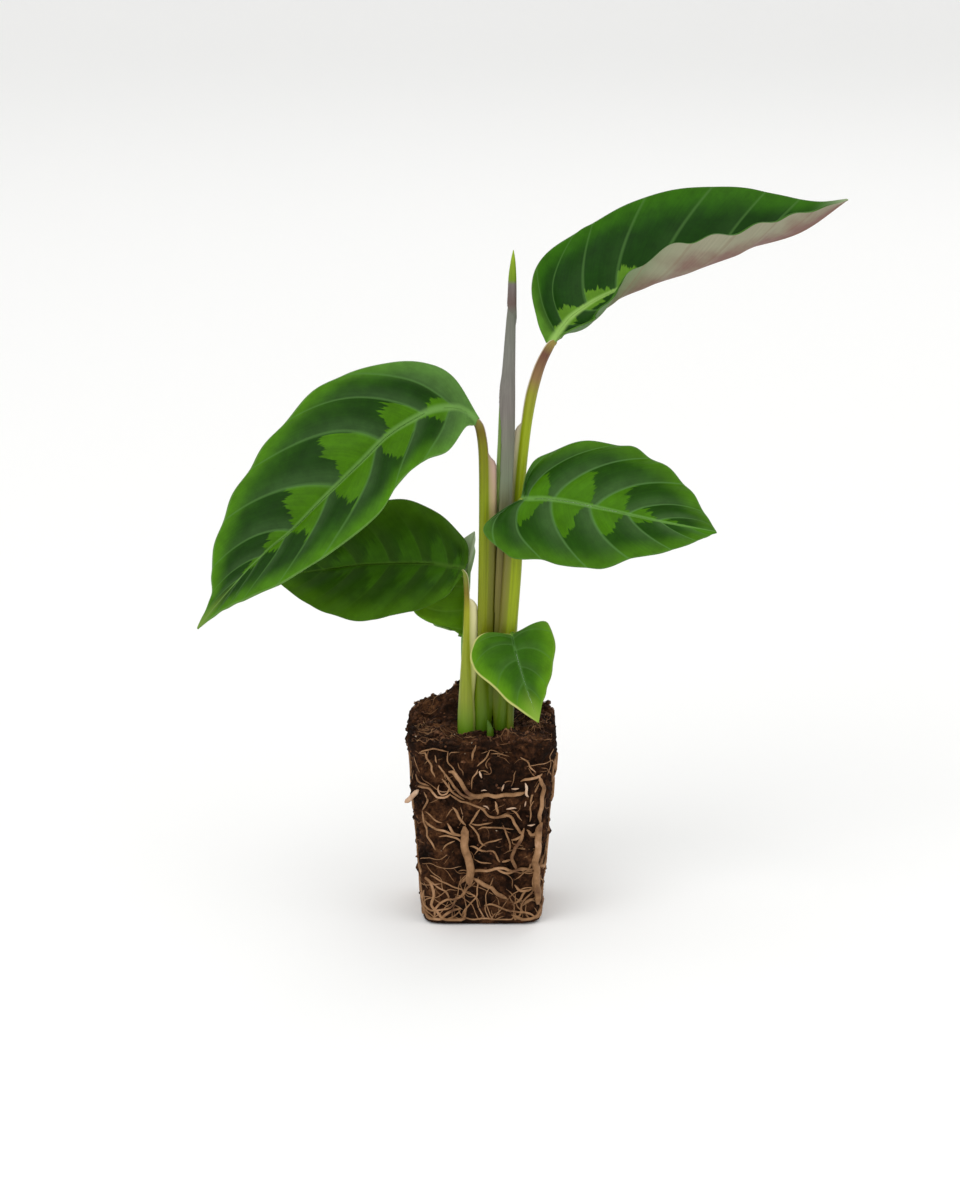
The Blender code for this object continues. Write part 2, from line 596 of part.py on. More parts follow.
def root_net(collection, cutters):
    """All roots joined in one net by a union."""
    strands = bpy.data.collections.new("strands")
    cutters.children.link(strands)
    tubes = [root_tube(f"strand {n}", radius, line, strands) for n, (radius, line) in enumerate(root_lines())]
    net = tubes[0]
    strands.objects.unlink(net)
    collection.objects.link(net)
    net.name = "root_net"
    join = net.modifiers.new("join", "BOOLEAN")
    join.operation = "UNION"
    join.solver = "MANIFOLD"
    join.operand_type = "COLLECTION"
    join.collection = strands
    apply_modifiers(net)
    for tube in tubes[1:]:
        bpy.data.objects.remove(tube, do_unlink=True)
    bpy.data.collections.remove(strands)
    largest_body(net)
    net.data.materials.clear()
    net.data.materials.append(material("root_net"))
    return net


def main():
    for old in list(bpy.data.objects):
        bpy.data.objects.remove(old, do_unlink=True)
    collection = bpy.data.collections.new("calathea plug plant")
    cutters = bpy.data.collections.new("cutters")
    bpy.context.scene.collection.children.link(collection)
    bpy.context.scene.collection.children.link(cutters)
    soil_plug(collection, cutters)
    root_net(collection, cutters)
    for name, path in STALKS.items():
        finish(loft(path, STALK_RINGS, SHEATHS.get(name)), name, "stalk", collection)
    finish(loft(SPEAR, SPEAR_RINGS), "spear_leaf", "spear_leaf", collection)
    bud = [(x + BUD_PLACE[0], y + BUD_PLACE[1], z, radius) for x, y, z, radius in BUD]
    finish(loft(bud, BUD_RINGS), "bud", "bud", collection)
    for name in BLADES:
        blade(name, collection)


main()
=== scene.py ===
"""Looks of a young calathea with its bare root plug.

Every piece is made in millimetres, in the CAD's own frame: the origin is the centre of the plug's base,
+Z is up, and the plant's front looks along -Y. MM turns them into metres when a mesh is finished.
"""

import math
import random

import bmesh
import bpy
import numpy as np
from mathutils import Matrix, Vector, noise


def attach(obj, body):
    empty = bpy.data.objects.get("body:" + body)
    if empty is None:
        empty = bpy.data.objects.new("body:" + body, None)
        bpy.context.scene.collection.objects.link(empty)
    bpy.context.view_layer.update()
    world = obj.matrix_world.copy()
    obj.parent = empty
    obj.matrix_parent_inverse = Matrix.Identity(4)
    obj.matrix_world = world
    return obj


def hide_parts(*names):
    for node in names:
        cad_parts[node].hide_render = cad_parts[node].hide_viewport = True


MM = 0.001
WELD = 0.002  # points closer than this, in millimetres, become one

# The camera, in millimetres, as the photograph was taken
CAMERA_PLACE = (-0.4, -676.1, 245.8)
CAMERA_AIM = (-0.4, 0.0, 64.6)
CAMERA_LENS = 105

# The plug of peat: a tapered block with rounded corners
PLUG_HEIGHT = 39.0
PLUG_HALF_TOP = 14.9
PLUG_HALF_BASE = 11.9
PLUG_SQUARENESS = 7.0  # 2 is round, and higher numbers have tighter corners
PLUG_CUTS = 84
BASE_CHAMFER = 0.9
RIM_DROP = 0.9
RIM_TIGHTNESS = 10
# Lumps on the plug's top: x, y, height and radius
LUMPS = [
    (-4.0, 6.0, 6.8, 4.5),
    (13.0, 9.0, 1.6, 2.2),
    (-11.5, 8.0, 2.0, 3.5),
    (5.0, -10.2, 1.3, 1.8),
    (9.0, 3.0, 1.0, 3.0),
    (-8.5, -8.0, -0.8, 3.0),
]
# Crumbly peat: depth in millimetres and waves per millimetre of each layer of noise
CRUMBLE = [(0.9, 0.22), (0.8, 0.55), (0.7, 1.1)]
CRUMBS = 1500
CRUMB_SIZES = (0.18, 0.75)
GRIT = 46
GRIT_SIZES = (0.15, 0.34)
FIBRES = 320
TOP_FIBRES = 0.55

# The stalks: points along the middle from foot to leaf as x, y, z and radius
STALKS = {
    "stalk_1": [
        (0.0, -4.7, 31.3, 1.2),
        (0.0, -4.7, 40.0, 1.8),
        (-0.1, -4.5, 50.0, 1.45),
        (0.0, -4.2, 60.0, 1.0),
        (0.3, -3.9, 74.0, 1.0),
        (0.4, -3.7, 86.0, 1.0),
        (0.3, -3.6, 95.0, 1.0),
        (-0.2, -3.65, 99.5, 0.95),
        (-0.9, -3.7, 101.5, 0.85),
        (-2.2, -3.9, 102.5, 0.6),
        (-3.6, -4.0, 103.1, 0.4),
    ],
    "stalk_2": [
        (5.3, -1.3, 31.3, 0.9),
        (5.3, -1.3, 40.0, 1.1),
        (5.9, -1.0, 56.0, 1.05),
        (6.75, -0.5, 74.0, 1.1),
        (7.5, -0.2, 88.0, 1.05),
        (8.5, -0.2, 98.5, 1.05),
        (9.5, -0.3, 105.5, 1.15),
        (10.6, -0.5, 110.0, 1.1),
        (11.7, -0.7, 113.2, 1.0),
        (13.3, -1.2, 116.4, 0.85),
        (14.4, -1.1, 117.4, 0.5),
    ],
    "stalk_3": [
        (4.3, -4.9, 31.3, 0.8),
        (4.3, -4.9, 40.0, 1.5),
        (5.6, -4.8, 56.0, 1.1),
        (6.85, -4.7, 73.0, 1.05),
        (7.1, -4.9, 81.0, 0.85),
        (7.5, -6.0, 86.1, 0.58),
        (8.2, -6.8, 86.7, 0.4),
    ],
    "stalk_4": [
        (-3.2, -5.6, 31.3, 1.0),
        (-3.1, -5.6, 40.0, 1.8),
        (-3.1, -5.0, 50.0, 1.3),
        (-3.1, -4.3, 57.0, 0.8),
        (-3.0, -3.7, 62.5, 0.65),
        (-3.0, -3.3, 66.0, 0.58),
        (-3.25, -3.0, 70.0, 0.55),
        (-4.0, -2.4, 71.4, 0.4),
    ],
    "stalk_5": [
        (-3.4, -1.7, 31.3, 0.6),
        (-3.4, -1.7, 40.0, 0.75),
        (-3.6, -0.4, 50.0, 0.6),
        (-3.7, 0.85, 56.0, 0.5),
        (-3.65, 1.3, 58.0, 0.3),
    ],
    "stalk_6": [
        (5.6, -7.2, 31.3, 0.55),
        (5.6, -7.2, 40.0, 0.7),
        (5.8, -6.9, 50.0, 0.6),
        (5.9, -6.8, 58.6, 0.5),
        (6.1, -7.6, 59.6, 0.4),
    ],
}
STALK_GLOSS = 0.25
STALK_RINGS = 90
STALK_SIDES = 40
# A sheath stands out of its stalk as a thin wing: direction in degrees from +X towards +Y, the heights that
# it starts and ends at, and its width
SHEATHS = {
    "stalk_1": (-10.0, 40.0, 94.8, 1.5),
    "stalk_2": (188.0, 80.0, 100.5, 1.1),
    "stalk_3": (186.0, 38.0, 82.0, 1.6),
    "stalk_4": (-20.0, 46.0, 65.8, 1.6),
}
SHEATH_START = 8.0
SHEATH_END = 1.4
SHEATH_SPREAD = 0.24  # radians of the stalk's round that the wing grows from

SPEAR = [
    (2.6, -2.6, 31.3, 1.0),
    (2.6, -3.0, 40.0, 1.7),
    (2.9, -3.0, 56.0, 2.1),
    (3.5, -2.6, 73.0, 2.2),
    (4.2, -2.2, 88.0, 1.95),
    (4.65, -2.0, 97.0, 1.9),
    (4.9, -2.0, 106.0, 1.78),
    (5.25, -2.0, 111.0, 1.42),
    (5.55, -2.0, 118.0, 1.2),
    (5.85, -2.0, 125.0, 0.98),
    (5.95, -2.0, 130.0, 0.84),
    (6.05, -2.0, 133.2, 0.52),
    (6.1, -2.0, 135.5, 0.08),
]
SPEAR_RINGS = 200
SPEAR_SIDES = 96
SPEAR_LAP = 0.2  # how far the outer edge of the roll stands proud, as a share of the radius
# The roll's outer edge winds round the spear: heights, and its direction in degrees from +X towards +Y
SPEAR_SEAM = [
    (31.3, -104.0),
    (86.0, -112.0),
    (100.0, -122.0),
    (108.0, -165.0),
    (114.0, -235.0),
    (122.0, -350.0),
    (124.8, -540.0),
    (135.5, -600.0),
]

BUD_PLACE = (1.6, -8.2)
BUD = [
    (0.0, 0.0, 36.0, 0.5),
    (0.0, 0.0, 38.0, 0.65),
    (0.0, 0.0, 39.5, 0.7),
    (-0.2, 0.0, 40.8, 0.5),
    (-0.5, 0.0, 42.0, 0.12),
]

# The blades. A rib is a line across the leaf, given by the left margin, the midrib and the right margin, as
# seen along the leaf from its stalk with the upper face up. Ribs run from the stalk to the tip.
RIBS = {
    "leaf_1": [
        ((-1.3, -4.8, 101.3), (-0.9, -4.3, 102.4), (-0.5, -3.6, 102.3)),
        ((-3.2, -7.0, 101.3), (-4.8, -4.0, 104.5), (-5.5, -0.5, 109.9)),
        ((-6.6, -10.0, 97.3), (-9.2, -4.8, 104.4), (-11.2, 1.0, 112.4)),
        ((-11.1, -12.0, 95.8), (-13.2, -5.5, 102.7), (-18.5, 1.5, 112.5)),
        ((-16.1, -15.0, 92.1), (-18.6, -6.8, 99.4), (-27.6, 1.5, 110.2)),
        ((-20.1, -18.0, 86.4), (-23.7, -8.2, 94.5), (-36.3, 0.5, 104.0)),
        ((-29.4, -20.0, 79.3), (-30.6, -10.0, 88.1), (-45.4, -2.5, 93.0)),
        ((-38.7, -21.0, 73.6), (-36.7, -12.0, 82.2), (-50.6, -6.5, 83.9)),
        ((-45.6, -20.5, 70.3), (-41.9, -13.5, 78.1), (-53.0, -10.5, 75.3)),
        ((-50.6, -19.0, 67.5), (-47.9, -15.5, 72.3), (-53.0, -14.0, 69.3)),
        ((-55.6, -18.0, 63.6), (-55.6, -18.0, 63.6), (-55.6, -18.0, 63.6)),
    ],
    "leaf_2": [
        ((12.6, -0.8, 116.9), (13.7, -1.4, 117.2), (14.0, -1.7, 116.9)),
        ((10.9, 0.3, 121.0), (14.8, -1.4, 118.9), (15.5, -2.1, 118.6)),
        ((9.9, 2.5, 128.1), (16.2, -1.4, 120.9), (20.5, -7.0, 122.4)),
        ((12.5, 4.5, 133.5), (17.9, -1.8, 122.7), (23.0, -8.5, 125.1)),
        ((21.2, 6.0, 139.2), (22.2, -2.3, 125.7), (29.0, -11.0, 132.9)),
        ((32.1, 7.0, 144.5), (28.6, -2.8, 128.8), (36.6, -13.5, 138.2)),
        ((42.7, 6.5, 146.5), (35.6, -3.2, 131.5), (43.2, -14.0, 139.8)),
        ((51.9, 4.5, 146.5), (43.4, -3.6, 134.2), (50.3, -13.0, 141.3)),
        ((59.1, 1.5, 145.4), (51.6, -4.0, 136.7), (56.9, -11.0, 143.1)),
        ((65.2, -2.0, 144.9), (61.5, -4.6, 139.7), (63.9, -8.5, 144.4)),
        ((70.5, -5.0, 145.9), (70.5, -5.0, 145.9), (70.5, -5.0, 145.9)),
    ],
    "leaf_3": [
        ((7.6, -6.6, 86.9), (7.6, -6.6, 86.9), (7.6, -6.6, 86.9)),
        ((8.7, -4.8, 91.0), (8.6, -7.0, 87.0), (0.4, -9.2, 81.6)),
        ((10.9, -3.4, 94.4), (9.9, -7.4, 87.1), (5.0, -11.0, 76.6)),
        ((15.3, -3.5, 96.5), (12.1, -8.4, 87.4), (10.6, -13.0, 76.2)),
        ((21.6, -5.0, 98.1), (15.6, -10.0, 87.4), (15.8, -15.5, 75.8)),
        ((28.6, -7.0, 97.6), (20.3, -12.2, 87.0), (22.5, -18.0, 75.6)),
        ((34.7, -10.0, 95.0), (25.5, -14.6, 86.4), (29.2, -20.0, 78.2)),
        ((39.8, -13.5, 91.2), (31.2, -17.2, 85.7), (36.1, -21.5, 80.1)),
        ((42.7, -18.0, 87.4), (37.0, -20.0, 85.1), (41.0, -22.5, 82.2)),
        ((45.1, -23.5, 84.3), (45.1, -23.5, 84.3), (45.1, -23.5, 84.3)),
    ],
    "leaf_4": [
        ((-3.9, -3.3, 70.6), (-3.5, -2.5, 71.6), (-2.8, -1.5, 72.8)),
        ((-5.2, -4.5, 68.9), (-4.5, -2.1, 71.8), (-2.7, 1.0, 75.3)),
        ((-7.9, -5.0, 66.1), (-6.0, -1.4, 71.8), (-4.4, 3.0, 77.6)),
        ((-12.7, -4.0, 63.6), (-9.2, 0.0, 72.0), (-8.4, 5.0, 81.0)),
        ((-18.2, -2.5, 62.0), (-13.6, 2.0, 71.7), (-14.0, 7.0, 83.3)),
        ((-24.0, -1.0, 60.4), (-18.9, 4.0, 71.1), (-20.1, 8.5, 83.1)),
        ((-30.1, 1.0, 61.2), (-24.5, 5.5, 70.4), (-27.0, 9.5, 81.2)),
        ((-35.0, 3.0, 62.9), (-30.2, 6.8, 69.3), (-33.7, 10.0, 77.2)),
        ((-38.9, 5.5, 65.0), (-35.9, 7.6, 68.3), (-39.2, 9.5, 72.1)),
        ((-42.4, 8.0, 67.3), (-42.4, 8.0, 67.3), (-42.4, 8.0, 67.3)),
    ],
    "leaf_5": [
        ((-3.7, 1.0, 56.5), (-3.7, 1.0, 56.5), (-3.7, 1.0, 56.5)),
        ((-6.4, 0.8, 58.4), (-3.6, 1.2, 58.0), (-3.2, 4.5, 57.6)),
        ((-11.5, 1.6, 59.9), (-3.5, 1.8, 61.2), (-2.9, 7.5, 60.9)),
        ((-14.1, 2.8, 62.8), (-3.4, 2.4, 64.4), (-2.7, 9.0, 64.1)),
        ((-12.7, 4.2, 67.8), (-3.1, 2.8, 67.8), (-2.6, 8.8, 67.9)),
        ((-8.4, 5.0, 72.4), (-2.7, 3.0, 71.5), (-1.7, 7.0, 72.1)),
        ((-4.6, 4.6, 75.4), (-2.2, 3.1, 74.7), (-1.5, 5.0, 75.1)),
        ((-1.5, 3.2, 78.0), (-1.5, 3.2, 78.0), (-1.5, 3.2, 78.0)),
    ],
    "leaf_6": [
        ((5.9, -7.6, 59.6), (5.9, -7.6, 59.6), (5.9, -7.6, 59.6)),
        ((11.7, -7.4, 62.2), (6.1, -8.1, 58.6), (0.8, -8.1, 60.0)),
        ((13.8, -7.6, 60.6), (6.4, -8.7, 57.3), (-1.9, -8.6, 57.7)),
        ((14.5, -8.0, 56.9), (6.9, -9.4, 55.6), (-1.9, -9.4, 53.3)),
        ((13.9, -8.8, 52.4), (7.7, -10.2, 53.0), (1.5, -10.4, 50.2)),
        ((12.8, -10.0, 48.6), (8.7, -10.9, 49.7), (5.1, -11.3, 46.8)),
        ((11.8, -11.0, 45.6), (9.9, -11.4, 46.3), (8.3, -11.8, 44.5)),
        ((11.2, -11.8, 42.5), (11.2, -11.8, 42.5), (11.2, -11.8, 42.5)),
    ],
}
# Side veins of the left and the right half: the rib number that each starts at on the midrib, and the one
# that it ends at on the margin
VEINS = {
    "leaf_1": (
        [(1.3, 3.1), (2.9, 4.2), (4.4, 6.2), (5.9, 7.15), (7.3, 8.2), (8.2, 8.85), (8.9, 9.4)],
        [(1.1, 4.0), (2.6, 5.3), (4.2, 6.1), (5.7, 7.15), (7.1, 8.2), (8.2, 8.95), (8.9, 9.5)],
    ),
    "leaf_2": (
        [(0.9, 2.6), (1.9, 3.7), (3.7, 4.05), (4.65, 5.0), (5.8, 6.25), (7.3, 7.45), (8.2, 8.4)],
        [(0.9, 2.4), (1.9, 3.4), (3.4, 4.3), (4.7, 5.5), (5.9, 6.7), (7.1, 7.9), (8.2, 8.9)],
    ),
    "leaf_3": (
        [(0.4, 2.6), (1.3, 4.7), (3.6, 5.7), (5.35, 6.9), (6.5, 8.1), (7.5, 8.8)],
        [(0.3, 1.6), (1.2, 3.2), (3.5, 4.7), (5.15, 5.9), (6.5, 7.1), (7.6, 8.1), (8.4, 8.7)],
    ),
    "leaf_4": (
        [(1.0, 2.0), (2.3, 3.4), (3.6, 4.7), (4.9, 5.9), (6.1, 7.0), (7.3, 8.0)],
        [(1.0, 2.2), (2.3, 3.6), (3.6, 4.9), (4.9, 6.1), (6.1, 7.2), (7.3, 8.1)],
    ),
    "leaf_5": (
        [(1.0, 1.8), (2.3, 3.3), (3.7, 4.7), (5.0, 5.8)],
        [(1.0, 1.8), (2.3, 3.3), (3.7, 4.7), (5.0, 5.8)],
    ),
    "leaf_6": (
        [(0.9, 2.2), (2.5, 3.6), (3.8, 4.8), (5.0, 5.8)],
        [(0.8, 2.1), (1.8, 3.0), (3.3, 4.4), (4.7, 5.6)],
    ),
}
# How far the light feather on the far side of each side vein reaches, as a share of the half's width. The
# first number is for the strip before the first vein
FEATHERS = {
    "leaf_1": ([0, 0.3, 0.62, 0.55, 0.42, 0.25, 0.15, 0], [0, 0.25, 0.33, 0.48, 0.4, 0.22, 0.12, 0]),
    "leaf_2": ([0.2, 0.2, 0.28, 0.22, 0.3, 0, 0, 0], [0.2, 0.2, 0.2, 0.15, 0.1, 0, 0, 0]),
    "leaf_3": ([0, 0, 0.5, 0.53, 0.42, 0.2, 0.1], [0, 0, 0.42, 0.55, 0.55, 0.2, 0.08, 0]),
    "leaf_4": ([0, 0.4, 0.5, 0.5, 0.4, 0.25, 0], [0, 0.4, 0.5, 0.5, 0.45, 0.3, 0]),
    "leaf_5": ([0, 0, 0, 0, 0], [0, 0, 0, 0, 0]),
    "leaf_6": ([0, 0, 0, 0, 0], [0, 0, 0, 0, 0]),
}
# Cells along a blade and across each half, and for the left and right halves: the rise of the ridges between
# veins, near the midrib and at the margin, how far the margin swells between two veins, and how far they arch
# over, the last two as shares of their width
BLADES = {
    "leaf_1": {
        "cells": (240, 44),
        "ridges": ((0.7, 0.35), (0.75, 0.3)),
        "scallops": (0.02, 0.03),
        "arch": (0.06, 0.08),
    },
    "leaf_2": {
        "cells": (240, 44),
        "ridges": ((0.5, 0.0), (0.0, 0.9)),
        "scallops": (0.01, 0.03),
        "arch": (-0.06, -0.20),
    },
    "leaf_3": {
        "cells": (240, 44),
        "ridges": ((0.7, 0.6), (0.7, 0.6)),
        "scallops": (0.035, 0.035),
        "arch": (0.06, 0.06),
    },
    "leaf_4": {
        "cells": (200, 40),
        "ridges": ((0.5, 0.3), (0.5, 0.2)),
        "scallops": (0.02, 0.01),
        "arch": (0.08, 0.08),
    },
    "leaf_5": {
        "cells": (120, 30),
        "ridges": ((0.3, 0.3), (0.3, 0.3)),
        "scallops": (0.02, 0.02),
        "arch": (0.05, 0.05),
    },
    "leaf_6": {
        "cells": (120, 30),
        "ridges": ((0.35, 0.3), (0.35, 0.3)),
        "scallops": (0.02, 0.02),
        "arch": (0.05, 0.05),
    },
}
VEIN_BOW = 0.10
LEAF_GLOSS = 0.1  # a young leaf's wax is thin, so it mirrors little of the white room
BLADE_THICKNESS = 0.34
KEEL = 1.2  # depth of the midrib under the blade, at the stalk
KEEL_WIDTH = 0.9
BLADE_LIFT = 0.15
RIGHT_HALF = 10  # added to the vein numbers of a right half in its UV map

# The roots that show at the front: radius in millimetres, and the route over the plug's face as pixels of the
# photograph. On the face 5 pixels are 1 mm, and these rows of pixels are its top and its base
PHOTO_MIDDLE = 482.0
FACE_SCALE = 5.01
FACE_TOP_ROW = 744.6
FACE_BASE_ROW = 925.0
FRONT_ROOTS = [
    (0.20, [(416, 754), (423, 753), (426, 758), (430, 764), (432, 771), (436, 778)]),
    (0.16, [(417, 754), (423, 751), (433, 748), (440, 750), (448, 752)]),
    (0.18, [(434, 754), (436, 763), (440, 770), (444, 773), (446, 779)]),
    (0.14, [(448, 751), (449, 761), (453, 768), (456, 774)]),
    (
        0.42,
        [
            (449, 771), (455, 771), (459, 778), (463, 786), (470, 793), (478, 795), (490, 795), (498, 796),
            (509, 794), (519, 793), (526, 789),
        ],
    ),
    (0.27, [(445, 773), (450, 781), (456, 787), (462, 794), (470, 797), (476, 797), (484, 798)]),
    (0.22, [(443, 778), (447, 785), (453, 791), (459, 797), (466, 800)]),
    (0.28, [(520, 781), (531, 778), (540, 775), (546, 772)]),
    (0.42, [(540, 775), (543, 783), (546, 790), (544, 801), (542, 810), (543, 823)]),
    (0.20, [(531, 805), (534, 796), (539, 787), (542, 781)]),
    (0.16, [(530, 820), (531, 807), (534, 800)]),
    (0.20, [(450, 795), (457, 798), (464, 802), (474, 804), (481, 806), (487, 808)]),
    (0.25, [(478, 805), (485, 811), (490, 815), (496, 817), (505, 817), (508, 818)]),
    (0.22, [(481, 807), (476, 813), (471, 820), (468, 824)]),
    (0.20, [(412, 775), (416, 781), (424, 784), (430, 786)]),
    (0.24, [(414, 787), (422, 788), (430, 790), (434, 795), (437, 798), (444, 797), (450, 792)]),
    (0.16, [(438, 785), (437, 789), (441, 794), (447, 793), (449, 787), (447, 781)]),
    (0.20, [(423, 792), (427, 798), (425, 804), (421, 809)]),
    (0.26, [(452, 806), (458, 812), (462, 819), (466, 824)]),
    (0.80, [(465, 824), (464, 832), (465, 840), (467, 850), (469, 860), (470, 872), (469, 886)]),
    (0.28, [(448, 822), (451, 830), (456, 834), (463, 836)]),
    (0.24, [(421, 820), (428, 824), (436, 829), (446, 831), (452, 833), (460, 836)]),
    (0.20, [(439, 836), (448, 835), (457, 838), (463, 843)]),
    (0.16, [(424, 811), (433, 816), (439, 821), (444, 822)]),
    (0.20, [(420, 810), (421, 818), (423, 825), (426, 835), (432, 843), (437, 850)]),
    (0.16, [(442, 849), (448, 843), (456, 840)]),
    (0.16, [(470, 822), (478, 824), (489, 822), (495, 820)]),
    (0.20, [(469, 824), (475, 830), (479, 835), (481, 842), (486, 846)]),
    (0.16, [(478, 830), (483, 826), (493, 827), (503, 827), (513, 828)]),
    (0.22, [(469, 845), (478, 847), (487, 850), (494, 851), (498, 858), (501, 861)]),
    (0.15, [(474, 853), (483, 845), (493, 841), (504, 837)]),
    (0.15, [(474, 858), (482, 861), (493, 862)]),
    (0.28, [(495, 800), (497, 807), (499, 812), (498, 815)]),
    (0.30, [(499, 814), (507, 815), (512, 819), (514, 824), (518, 829), (522, 832), (525, 825)]),
    (0.20, [(510, 810), (518, 813), (523, 820)]),
    (0.28, [(511, 840), (518, 837), (523, 832)]),
    (0.36, [(523, 831), (520, 840), (515, 847), (513, 855), (514, 863), (517, 870)]),
    (0.34, [(527, 829), (532, 835), (537, 834), (541, 828)]),
    (0.18, [(510, 850), (509, 841), (505, 831), (502, 823)]),
    (0.24, [(499, 861), (507, 861), (514, 858)]),
    (0.24, [(496, 868), (507, 872), (513, 871), (520, 868), (527, 869)]),
    (0.28, [(528, 869), (533, 861), (536, 855)]),
    (0.26, [(515, 884), (521, 889), (528, 890), (536, 887)]),
    (0.15, [(520, 847), (527, 848), (535, 848)]),
    (0.70, [(543, 822), (541, 836), (539, 852), (538, 872), (540, 890), (540, 906)]),
    (0.22, [(471, 760), (472, 754), (475, 748), (475, 743)]),
    (0.16, [(478, 766), (484, 761), (489, 753), (491, 751)]),
    (0.11, [(491, 753), (500, 754), (509, 757)]),
    (0.14, [(472, 788), (471, 781), (475, 773), (477, 766)]),
    (0.09, [(510, 786), (513, 778), (516, 770)]),
    (0.16, [(522, 757), (528, 761), (531, 768), (536, 773)]),
    (0.12, [(455, 808), (449, 812), (444, 818)]),
    (0.30, [(524, 906), (530, 901), (538, 898)]),
    (0.24, [(512, 905), (518, 900), (522, 894), (528, 890)]),
]
# Short pale root tips on the face, in the same way
PALE_TIPS = [
    (0.24, [(479, 771), (480, 774), (481, 778)]),
    (0.22, [(504, 784), (502, 788), (501, 792)]),
    (0.20, [(512, 788), (515, 788), (519, 787)]),
    (0.20, [(506, 808), (512, 808), (519, 808)]),
    (0.22, [(526, 800), (525, 803), (523, 807)]),
    (0.20, [(528, 824), (532, 824), (536, 823)]),
    (0.28, [(526, 783), (528, 788), (527, 793), (530, 796)]),
    (0.16, [(481, 790), (485, 789), (488, 790)]),
    (0.18, [(484, 806), (488, 806), (490, 809)]),
]
# One tip sticks out at the left: its points as x, y and z in millimetres
LOOSE_TIP = (0.5, [(-12.6, -12.9, 29.0), (-13.6, -12.8, 27.9), (-14.6, -12.7, 26.8), (-15.4, -12.6, 26.2)])
ROOT_SEED = 7
SIDE_ROOTS = 190
SIDE_RADII = (0.1, 0.12, 0.14, 0.16, 0.2, 0.24, 0.3, 0.42)
HAIR_ROOTS = 150
HAIR_RADII = (0.06, 0.08, 0.1)
ROOT_LOWEST = 1.2
ROOT_HIGHEST = 34.5
TRACED_ABOVE = 13.5  # over this height the front's roots are the traced ones alone
FRONT_HAIRS = 0.35  # share of the hair roots that stays there

ROOT_BEDDED = -0.2  # where the middle of the thinnest root lies, out from the plug's side

# The floor and its backdrop, in metres
FLOOR_HALF = 6.0
BACKDROP_START = 1.6
BACKDROP_ROUND = 1.0


def smooth(rows, places):
    """Reads a smooth curve through rows, which stand at 0, 1, 2 and so on, at each of the places."""
    rows = np.asarray(rows, float)
    places = np.asarray(places, float)
    slopes = np.gradient(rows, axis=0)
    first = np.clip(places.astype(int), 0, len(rows) - 2)
    t = (places - first).reshape((-1,) + (1,) * (rows.ndim - 1))
    start, end = rows[first], rows[first + 1]
    lead, trail = slopes[first], slopes[first + 1]
    return (
        (2 * t**3 - 3 * t**2 + 1) * start
        + (t**3 - 2 * t**2 + t) * lead
        + (3 * t**2 - 2 * t**3) * end
        + (t**3 - t**2) * trail
    )


def unit(vectors):
    return vectors / np.maximum(np.linalg.norm(vectors, axis=-1, keepdims=True), 1e-9)


def linear(hex_code):
    """Turns an sRGB hex colour into the linear colour that a shader takes."""
    channels = [int(hex_code[place : place + 2], 16) / 255 for place in (1, 3, 5)]
    return (*[c / 12.92 if c <= 0.04045 else ((c + 0.055) / 1.055) ** 2.4 for c in channels], 1.0)


def add(tree, kind, inputs=None, out=0, **settings):
    """Adds a node with its settings, values and links, and gives the output that is named."""
    made = tree.nodes.new(kind)
    for name, value in settings.items():
        setattr(made, name, value)
    for key, value in (inputs or {}).items():
        if isinstance(value, bpy.types.NodeSocket):
            tree.links.new(value, made.inputs[key])
        else:
            made.inputs[key].default_value = value
    return made.outputs[out]


def new_material(name):
    """A material with its shader, and the tree that both are in."""
    made = bpy.data.materials.new(name)
    made.use_nodes = True
    return made, made.node_tree, made.node_tree.nodes["Principled BSDF"]


def ramp(tree, value, stops):
    """A colour that runs through stops of position and hex code."""
    colour = add(tree, "ShaderNodeValToRGB", {0: value})
    elements = colour.node.color_ramp.elements
    for place, (position, hex_code) in enumerate(stops):
        stop = elements[place] if place < 2 else elements.new(position)
        stop.position = position
        stop.color = linear(hex_code)
    return colour


def laid_grid(bm, points, maps):
    """A grid moved to points[column, row], with UV maps given in the same order."""
    columns, rows = points.shape[0] - 1, points.shape[1] - 1
    made = bmesh.ops.create_grid(bm, x_segments=columns, y_segments=rows, size=1)["verts"]
    places = {}
    for vert in made:
        place = (round((vert.co.x + 1) / 2 * columns), round((vert.co.y + 1) / 2 * rows))
        places[vert] = place
        vert.co = points[place]
    faces = {face for vert in made for face in vert.link_faces}
    for name, values in maps.items():
        layer = bm.loops.layers.uv.get(name) or bm.loops.layers.uv.new(name)
        for face in faces:
            for loop in face.loops:
                loop[layer].uv = values[places[loop.vert]]
    return places


def piece(bm, name, materials, stands_for=()):
    """Finishes a bmesh that is in millimetres as a piece that rides on the root."""
    bmesh.ops.scale(bm, vec=(MM, MM, MM), verts=bm.verts)
    mesh = bpy.data.meshes.new(name)
    bm.to_mesh(mesh)
    bm.free()
    mesh.shade_smooth()
    for finish in materials:
        mesh.materials.append(finish)
    made = bpy.data.objects.new(name, mesh)
    bpy.context.scene.collection.objects.link(made)
    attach(made, "root")
    if stands_for:
        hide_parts(*stands_for)
    return made


# Blades


def vein_numbers(places, last, veins, v):
    """The number of the side vein that each place along the leaf stands at, with parts of one between veins."""
    crossings = [start + (end - start) * v for start, end in veins]
    return np.interp(places, [0.0, *crossings, last], np.arange(len(veins) + 2))


